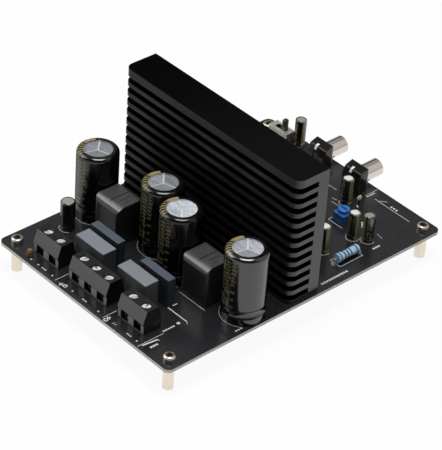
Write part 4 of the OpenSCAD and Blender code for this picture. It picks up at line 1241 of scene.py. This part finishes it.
@dataclass
class CircuitBoard:
    """The bare board, its standoffs and screws, its solder and its printed legend."""

    ink_t: float = 0.03
    fine: float = 0.15
    thin: float = THIN
    can_margin: float = 0.5
    can_span: Span = (200.0, 318.0)
    small_margin: float = 0.45
    small_spans: tuple[tuple[str, float, float], ...] = (
        ("supply_capacitor", 200.0, 330.0), ("small_capacitor_1", 220.0, 320.0),
        ("small_capacitor_2", 200.0, 290.0), ("small_capacitor_3", 190.0, 400.0),
        ("small_capacitor_4", 180.0, 390.0), ("small_capacitor_5", 250.0, 380.0),
    )
    coil_margin: float = 0.7
    coil_ends: Span = (0.4, 1.0)
    resistor_margin: float = 0.9
    trimmer_margin: float = 1.2
    trimmer_ends: tuple[float, float, float] = (0.6, 1.0, 1.0)
    switch_margin: float = 1.2
    switch_inset: float = 0.5
    head_r: float = 2.7
    recess_r: float = 1.5
    recess_z: float = 0.3
    pad_r: float = 1.0
    pad_w: float = 0.7
    pad_inset: float = 0.35

    def __post_init__(self) -> None:
        """Reads the board's faces and the screws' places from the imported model."""
        self.low, self.high = box_mm("board")
        low, high = box_mm("board_screws")
        self.screw_at = ((high.x - low.x) / 2 - self.head_r, (high.y - low.y) / 2 - self.head_r)

    @property
    def top(self) -> float:
        """Height of the board's upper face."""
        return self.high.z

    def dress(self) -> list[str]:
        """Gives the board and its fixings their finishes.

        Returns:
            Names of the dressed nodes.
        """
        half = (self.high.z - self.low.z) / 2
        return [
            dress("board", SolderMask("solder_mask", self.low.z + half, half)),
            dress("standoffs", Tone.NICKEL.value),
            dress("board_screws", Tone.SCREW.value, (self._in_recess, Tone.RECESS_SHADE.value)),
            dress("heatsink_screws", Tone.SCREW.value),
            dress("solder_joints", Tone.SOLDER.value),
        ]

    def build(self) -> list[bpy.types.Object]:
        """Makes the printed legend and the tinned pads."""
        return [self._legend(), self._pads()]

    def _in_recess(self, p: Vector) -> bool:
        """Whether a face lies in the drive of a board screw."""
        off = math.hypot(abs(p.x) - self.screw_at[0], abs(p.y) - self.screw_at[1])
        return p.z > self.top + self.recess_z and off < self.recess_r

    def _legend(self) -> bpy.types.Object:
        """Makes outlines of the parts, polarity signs and plain bars in white ink.

        Returns:
            The new piece.
        """
        ink = FlatWork(self.top, self.top + self.ink_t)
        self._round_outlines(ink)
        self._square_outlines(ink)
        EDGE_MARKS.draw(ink, self.low.y)
        FIELD_MARKS.draw(ink, 0.0)
        return ink.finish("legend", Tone.INK.value)

    def _round_outlines(self, ink: FlatWork) -> None:
        """Draws arcs round the cans and the small capacitors.

        Args:
            ink: The print that they join.
        """
        for i in range(1, 5):
            centre, radius = round_mm(f"capacitor_sleeve_{i}")
            ink.arc(centre, radius + self.can_margin, self.fine, *self.can_span)
        for node, start, end in self.small_spans:
            centre, radius = round_mm(node)
            ink.arc(centre, radius + self.small_margin, self.thin, start, end)

    def _square_outlines(self, ink: FlatWork) -> None:
        """Draws lines by the coils, the resistor, the trimmer and the switch.

        Args:
            ink: The print that they join.
        """
        for i in (1, 2):
            low, high = box_mm(f"coil_{i}")
            y = low.y - self.coil_margin
            ink.line((low.x + self.coil_ends[0], y), (high.x + self.coil_ends[1], y), self.thin)
        low, high = box_mm("resistor")
        off = self.resistor_margin
        ink.frame((low.x - off, low.y + off), (high.x + off, high.y - off), self.thin)
        low, high = box_mm("trimmer_body")
        x, y = low.x - self.trimmer_margin, low.y - self.trimmer_margin
        rear, left, right = self.trimmer_ends
        ink.line((x, y), (x, high.y + rear), self.thin)
        ink.line((low.x - left, y), (high.x + right, y), self.thin)
        low, high = box_mm("switch_base")
        y = low.y - self.switch_margin
        ink.line((low.x + self.switch_inset, y), (high.x - self.switch_inset, y), self.thin)

    def _pads(self) -> bpy.types.Object:
        """Makes tinned rings where leads that can be seen enter the board.

        Returns:
            The new piece.
        """
        tin = FlatWork(self.top, self.top + self.ink_t)
        low, high = box_mm("resistor")
        for y in (low.y + self.pad_inset, high.y - self.pad_inset):
            tin.arc(((low.x + high.x) / 2, y), self.pad_r, self.pad_w)
        return tin.finish("tinned_pads", Tone.TIN.value)


@dataclass
class CoolingBlock:
    """The finned heatsink and the transistors on its back."""

    tab_t: float = 1.3
    tab_h: float = 6.3
    body_h: float = 9.2
    slack: float = 0.05

    def dress(self) -> list[str]:
        """Gives the heatsink and its transistors their finishes.

        Returns:
            Names of the dressed nodes.
        """
        done = [
            dress("heatsink", Tone.ANODISED.value),
            dress("transistor_pads", Tone.PAD.value),
            dress("transistor_screws", Tone.SCREW.value),
        ]
        for i in range(1, 5):
            node = f"transistor_{i}"
            low, high = box_mm(node)
            tab_face = low.y + self.tab_t - self.slack
            body_top = high.z - self.tab_h + self.slack
            body_low = high.z - self.tab_h - self.body_h - self.slack
            done.append(dress(
                node, Tone.EPOXY.value,
                (lambda p, z=body_low: p.z < z, Tone.TIN.value),
                (lambda p, y=tab_face, z=body_top: p.y < y or p.z > z, Tone.TAB.value),
            ))
        return done


@dataclass
class FilterRow:
    """Large cans, coils and film capacitors in front of the heatsink."""

    marking_t: float = 0.02
    marking_w: float = 1.1
    marking_pitch: float = 1.3
    marking_share: float = 0.75
    marking_rows: tuple[tuple[float, float, float], ...] = ((3.0, -2.1, 3.8), (5.4, -2.0, 0.7))
    sleeve_gloss: tuple[float, ...] = (0.6, 0.5, 0.4, 1.0)
    rim_h: float = 1.6
    vent_turns: tuple[float, ...] = (134.0, 138.0, 76.0, 138.0)
    # painted light: brightness of each can's three vent sectors
    vent_light: tuple[tuple[float, float, float], ...] = (
        (0.32, 0.26, 0.30), (0.38, 0.30, 0.28), (0.72, 0.62, 0.76), (0.48, 0.38, 0.57),
    )

    def build(self) -> list[bpy.types.Object]:
        """Makes the plain bars that are printed beside the groove of each coil.

        Returns:
            The new pieces.
        """
        made = []
        for i in (1, 2):
            top = box_mm(f"coil_{i}")[1].z
            middle = middle_mm(f"coil_{i}")
            ink = FlatWork(top, top + self.marking_t)
            for shift, *ends in self.marking_rows:
                row = ((middle.x + shift, middle.y + end) for end in ends)
                ink.dashes(*row, self.marking_w, self.marking_pitch, self.marking_share)
            made.append(ink.finish(f"coil_marking_{i}", Tone.MARKING.value))
        return made

    def dress(self, top: float) -> list[str]:
        """Gives the cans, sleeves, coils and film capacitors their finishes.

        Args:
            top: Height of the board's upper face.

        Returns:
            Names of the dressed nodes.
        """
        done = []
        lead = leads(top)
        for i, gloss, turn, sector_light in zip(range(1, 5), self.sleeve_gloss, self.vent_turns, self.vent_light):
            node = f"capacitor_sleeve_{i}"
            low, high = box_mm(node)
            centre, _ = round_mm(node)
            sleeve = Sleeve(f"can_sleeve_{i}", centre, low.z, high.z - low.z, gloss=gloss, rim_h=self.rim_h)
            done.append(dress(node, sleeve))
            done.append(dress(f"capacitor_can_{i}", CanTop(f"can_top_{i}", centre, turn, sector_light), lead))
        for i in (1, 2):
            done.append(dress(f"coil_{i}", Tone.COIL.value, lead))
        for i, tone in enumerate((Tone.FILM_THICK, Tone.FILM_THIN) * 2, 1):
            done.append(dress(f"film_capacitor_{i}", tone.value, lead))
        return done


@dataclass
class ScrewTerminals:
    """Terminal housings with their cages and clamp screws."""

    blocks: int = 3
    poles: int = 7
    colour: Colour = (0.0060, 0.0062, 0.0066)

    def dress(self, top: float) -> list[str]:
        """Gives the terminals their finishes.

        Args:
            top: Height of the board's upper face.

        Returns:
            Names of the dressed nodes.
        """
        grey = TerminalGrey("terminal_grey", self.colour, 0.32, 4.5, 0.014, 0.15, 0.2, 0.45, base_z=top)
        done = [dress(f"terminal_block_{i}", grey) for i in range(1, self.blocks + 1)]
        done.append(dress("clamp_cages", Tone.CAGE.value))
        done += [dress(f"clamp_screw_{i}", Tone.CLAMP.value) for i in range(1, self.poles + 1)]
        return done


@dataclass
class InputParts:
    """Sockets, switch, trimmer, small capacitors and the other small parts."""

    stripe_turns: tuple[float, ...] = (6.0, 6.0, 6.0, -118.0, 6.0)
    print_turns: tuple[float, ...] = (-104.0, -104.0, -104.0, -42.0, -104.0)
    supply_turns: tuple[float, float] = (190.0, 80.0)
    stripe_half: float = 34.0
    top_rim: float = 0.75
    top_sink: float = 0.35
    darker_top_cans: tuple[str, ...] = ("supply_capacitor", "small_capacitor_1", "small_capacitor_4")
    chip_half: float = 1.96
    metal_end: float = 0.55
    # size and place of the bright plates that are painted highlights on the sockets
    highlight_w: float = 1.2
    tab_t: float = 0.12
    highlight_shift: float = -1.1
    highlight_spine: tuple[Point, ...] = ((0.75, 11.05), (1.5, 12.7), (3.0, 13.155))
    stub_l: float = 0.2
    resistor_half: float = 6.05
    small_colour: Colour = (0.0075, 0.0060, 0.0035)
    small_ink: Colour = (0.26, 0.24, 0.11)
    small_columns: tuple[Span, ...] = ((-0.5, 0.55), (0.8, 0.45))
    small_pitch: float = 0.9
    small_fill: float = 0.6
    whole_parts: tuple[tuple[str, Tone], ...] = (
        ("socket_contacts", Tone.BRASS), ("switch_frame", Tone.FRAME), ("switch_slider", Tone.LEVER),
        ("trimmer_rotor", Tone.ROTOR),
    )
    leaded_parts: tuple[tuple[str, Tone], ...] = (
        ("socket_body_1", Tone.SOCKET), ("socket_body_2", Tone.SOCKET), ("switch_base", Tone.LEVER),
        ("trimmer_body", Tone.TRIMMER), ("dipped_capacitor", Tone.DIPPED), ("indicator_lamp", Tone.AMBER),
    )

    def dress(self, top: float) -> list[str]:
        """Gives the input parts their finishes.

        Args:
            top: Height of the board's upper face.

        Returns:
            Names of the dressed nodes.
        """
        done = [self._small_can("supply_capacitor", top, *self.supply_turns)]
        for i, turns in enumerate(zip(self.stripe_turns, self.print_turns), 1):
            done.append(self._small_can(f"small_capacitor_{i}", top, *turns))
        for i in (1, 2):
            done.append(dress(f"socket_shell_{i}", Tone.SHELL.value))
            node = f"socket_insulator_{i}"
            stub = box_mm(node)[0].y + self.stub_l
            done.append(dress(node, Tone.INSULATOR.value, (lambda p, y=stub: p.y < y, Tone.SOCKET.value)))
        done += [dress(node, tone.value) for node, tone in self.whole_parts]
        done += [dress(node, tone.value, leads(top)) for node, tone in self.leaded_parts]
        return done + self._flat_parts() + [self._resistor()]

    def build(self, top: float) -> list[bpy.types.Object]:
        """Makes a thin bright plate folded over each socket's rear edge: a painted highlight of that rounded
        edge.

        Args:
            top: Height of the board's upper face.

        Returns:
            The new pieces.
        """
        made = []
        # painted highlight: one bright plate on each socket's rounded rear edge
        for i in (1, 2):
            x = middle_mm(f"socket_body_{i}").x + self.highlight_shift
            front = box_mm(f"socket_body_{i}")[0].y
            spine = [(front + y, top + z) for y, z in self.highlight_spine]
            made.append(folded_strip(f"socket_highlight_{i}", x, self.highlight_w, spine, self.tab_t, Tone.HIGHLIGHT_PLATE.value))
        return made

    def _small_can(self, node: str, top: float, stripe: float, printed: float) -> str:
        """Dresses one small can: sleeve, bare top and leads.

        Args:
            node: The can's node.
            top: Height of the board's upper face.
            stripe: Direction of the polarity stripe in degrees.
            printed: Direction of the printed bars in degrees.

        Returns:
            The node's name.
        """
        can_top = box_mm(node)[1].z
        centre, radius = round_mm(node)
        sleeve = Sleeve(
            f"{node}_sleeve", centre, top, can_top - top, self.small_colour, self.small_ink, self.small_ink,
            stripe, self.stripe_half, printed, self.small_columns, self.small_pitch, self.small_fill,
        )

        def bare(p: Vector) -> bool:
            """Whether a face lies on the can's sunk top."""
            return p.z > can_top - self.top_sink and math.dist(p.xy, centre) < radius - self.top_rim

        metal = Tone.DARKER_TOP if node in self.darker_top_cans else Tone.BARE_TOP
        return dress(node, sleeve, leads(top), (bare, metal.value))

    def _flat_parts(self) -> list[str]:
        """Dresses the driver chips and the chip parts, with tinned legs and ends.

        Returns:
            Names of the dressed nodes.
        """
        chip_y = middle_mm("driver_chips").y
        boxes = solids_mm("chip_parts")

        def leg(p: Vector) -> bool:
            """Whether a face lies on a chip's leg."""
            return abs(p.y - chip_y) > self.chip_half

        def end(p: Vector) -> bool:
            """Tests a face of the chip parts.

            Args:
                p: The face's middle.

            Returns:
                Whether it lies on a metal end.
            """
            low, high = min(boxes, key=lambda box: ((box[0] + box[1]) / 2 - p).length)
            axis = 0 if high.x - low.x > high.y - low.y else 1
            return min(p[axis] - low[axis], high[axis] - p[axis]) < self.metal_end

        return [
            dress("driver_chips", Tone.EPOXY.value, (leg, Tone.TIN.value)),
            dress("chip_parts", Tone.CHIP_PART.value, (end, Tone.TIN.value)),
        ]

    def _resistor(self) -> str:
        """Dresses the banded resistor and its bent leads.

        Returns:
            The node's name.
        """
        middle = middle_mm("resistor").y
        return dress(
            "resistor", BandedLacquer("resistor_blue", middle),
            (lambda p: abs(p.y - middle) > self.resistor_half, Tone.TIN.value),
        )


Lamp = tuple[str, Place, float, float]


@dataclass
class Studio:
    """Pale floor, soft lamps, a side card that only reflections see, dim ceiling and the camera."""

    floor_half: float = 9.0
    floor_grey: float = 0.88
    white_share: float = 0.94
    fill: float = 0.04
    ceiling: float = 0.08
    horizon: float = 0.90
    horizon_band: Span = (0.02, 0.30)
    backdrop: float = 0.56
    backdrop_way: tuple[float, float] = (-0.71, 0.70)
    backdrop_side: Span = (0.2, 0.6)
    backdrop_top: Span = (0.9, 0.7)
    backdrop_foot: Span = (0.44, 0.66)
    rear_card: float = 0.85
    rear_way: Place = (0.50, 0.57, 0.65)
    rear_reach: Span = (0.80, 0.92)
    lens: float = 184.86
    sensor: float = 36.0
    eye: Place = (582.139, -570.952, 612.970)
    right: Place = (0.66591, 0.74357, 0.06056)
    up: Place = (-0.47166, 0.35672, 0.80641)
    aim: Place = (0.0, 0.0, 0.03)
    overhead: Lamp = ("overhead", (0.05, -0.05, 1.25), 0.60, 15.0)
    front_card: Lamp = ("front_card", (-0.85, -0.95, 0.78), 0.46, 3.0)
    side_card: Lamp = ("side_card", (-1.0, -0.55, 0.95), 1.1, 11.0)

    def build(self) -> None:
        """Makes the whole studio."""
        self._floor()
        self._world()
        self._lamp(*self.overhead)
        self._lamp(*self.front_card)
        self._lamp(*self.side_card).visible_diffuse = False
        self._camera()
        bpy.context.scene.view_settings.view_transform = "Standard"

    def _floor(self) -> None:
        """Wide floor that looks white and still takes the object's shadow."""
        h = self.floor_half
        data = bpy.data.meshes.new("floor")
        data.from_pydata([(-h, -h, 0), (h, -h, 0), (h, h, 0), (-h, h, 0)], [], [(0, 1, 2, 3)])
        floor = bpy.data.objects.new("floor", data)
        bpy.context.scene.collection.objects.link(floor)
        material = bpy.data.materials.new("floor_paper")
        graph = Graph(material)
        seen = graph.ray(Ray.CAMERA).either(graph.ray(Ray.GLOSSY)).either(graph.ray(Ray.TRANSMISSION))
        paper = graph.node("ShaderNodeBsdfDiffuse", {}, {"Color": (self.floor_grey,) * 3})
        white = graph.node("ShaderNodeEmission", {}, {"Color": (1.0, 1.0, 1.0), "Strength": 1.0})
        both = graph.node(
            "ShaderNodeMixShader", {}, {0: seen * self.white_share, 1: paper.outputs[0], 2: white.outputs[0]}
        )
        graph.end(both)
        data.materials.append(material)

    def _world(self) -> None:
        """Horizon, backdrop, rear card and dim ceiling for reflections, and a low even fill for the rest."""
        world = bpy.data.worlds.new("studio")
        bpy.context.scene.world = world
        graph = Graph(world)
        east, north, rise = graph.split(graph.node("ShaderNodeTexCoord").outputs["Generated"])
        behind = (east * self.backdrop_way[0] + north * self.backdrop_way[1]).fade(*self.backdrop_side)
        sheet = behind * rise.fade(*self.backdrop_top) * rise.fade(*self.backdrop_foot)
        above = sheet.between(self.ceiling, self.backdrop)
        open_sky = rise.fade(*self.horizon_band).between(self.horizon, above)
        toward = east * self.rear_way[0] + north * self.rear_way[1] + rise * self.rear_way[2]
        mirrored = toward.fade(*self.rear_reach).between(open_sky, self.rear_card)
        level = graph.ray(Ray.GLOSSY).between(self.fill, mirrored)
        graph.end(graph.node("ShaderNodeBackground", {}, {"Strength": level}), "ShaderNodeOutputWorld")

    def _lamp(self, name: str, place: Place, size: float, power: float) -> bpy.types.Object:
        """Adds one square soft lamp that looks at the object.

        Args:
            name: The lamp's name.
            place: Its place in metres.
            size: Its side in metres.
            power: Its power in watts.

        Returns:
            The lamp's object.
        """
        data = bpy.data.lights.new(name, "AREA")
        data.size = size
        data.energy = power
        lamp = bpy.data.objects.new(name, data)
        lamp.location = place
        lamp.rotation_mode = "QUATERNION"
        lamp.rotation_quaternion = (Vector(self.aim) - Vector(place)).to_track_quat("-Z", "Y")
        bpy.context.scene.collection.objects.link(lamp)
        return lamp

    def _camera(self) -> None:
        """Camera at the photograph's angle."""
        data = bpy.data.cameras.new("camera")
        data.lens = self.lens
        data.sensor_width = self.sensor
        camera = bpy.data.objects.new("camera", data)
        right, up = Vector(self.right), Vector(self.up)
        turn = Matrix((right, up, right.cross(up))).transposed().to_4x4()
        camera.matrix_world = Matrix.Translation(Vector(self.eye) * MM) @ turn
        bpy.context.scene.collection.objects.link(camera)
        bpy.context.scene.camera = camera


def main() -> None:
    """Builds the studio and every sub-assembly, and reports each piece."""
    logging.basicConfig(level=logging.INFO, format="%(name)s: %(message)s")
    Studio().build()
    board, filters, inputs = CircuitBoard(), FilterRow(), InputParts()
    for piece in board.build() + filters.build() + inputs.build(board.top):
        log.info("made %s", piece.name)
    dressed = board.dress() + CoolingBlock().dress() + filters.dress(board.top)
    dressed += ScrewTerminals().dress(board.top) + inputs.dress(board.top)
    for node in dressed:
        log.info("dressed %s", node)
    left = sorted(set(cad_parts) - set(dressed))
    if left:
        log.warning("not dressed: %s", ", ".join(left))


if __name__ == "__main__":
    main()
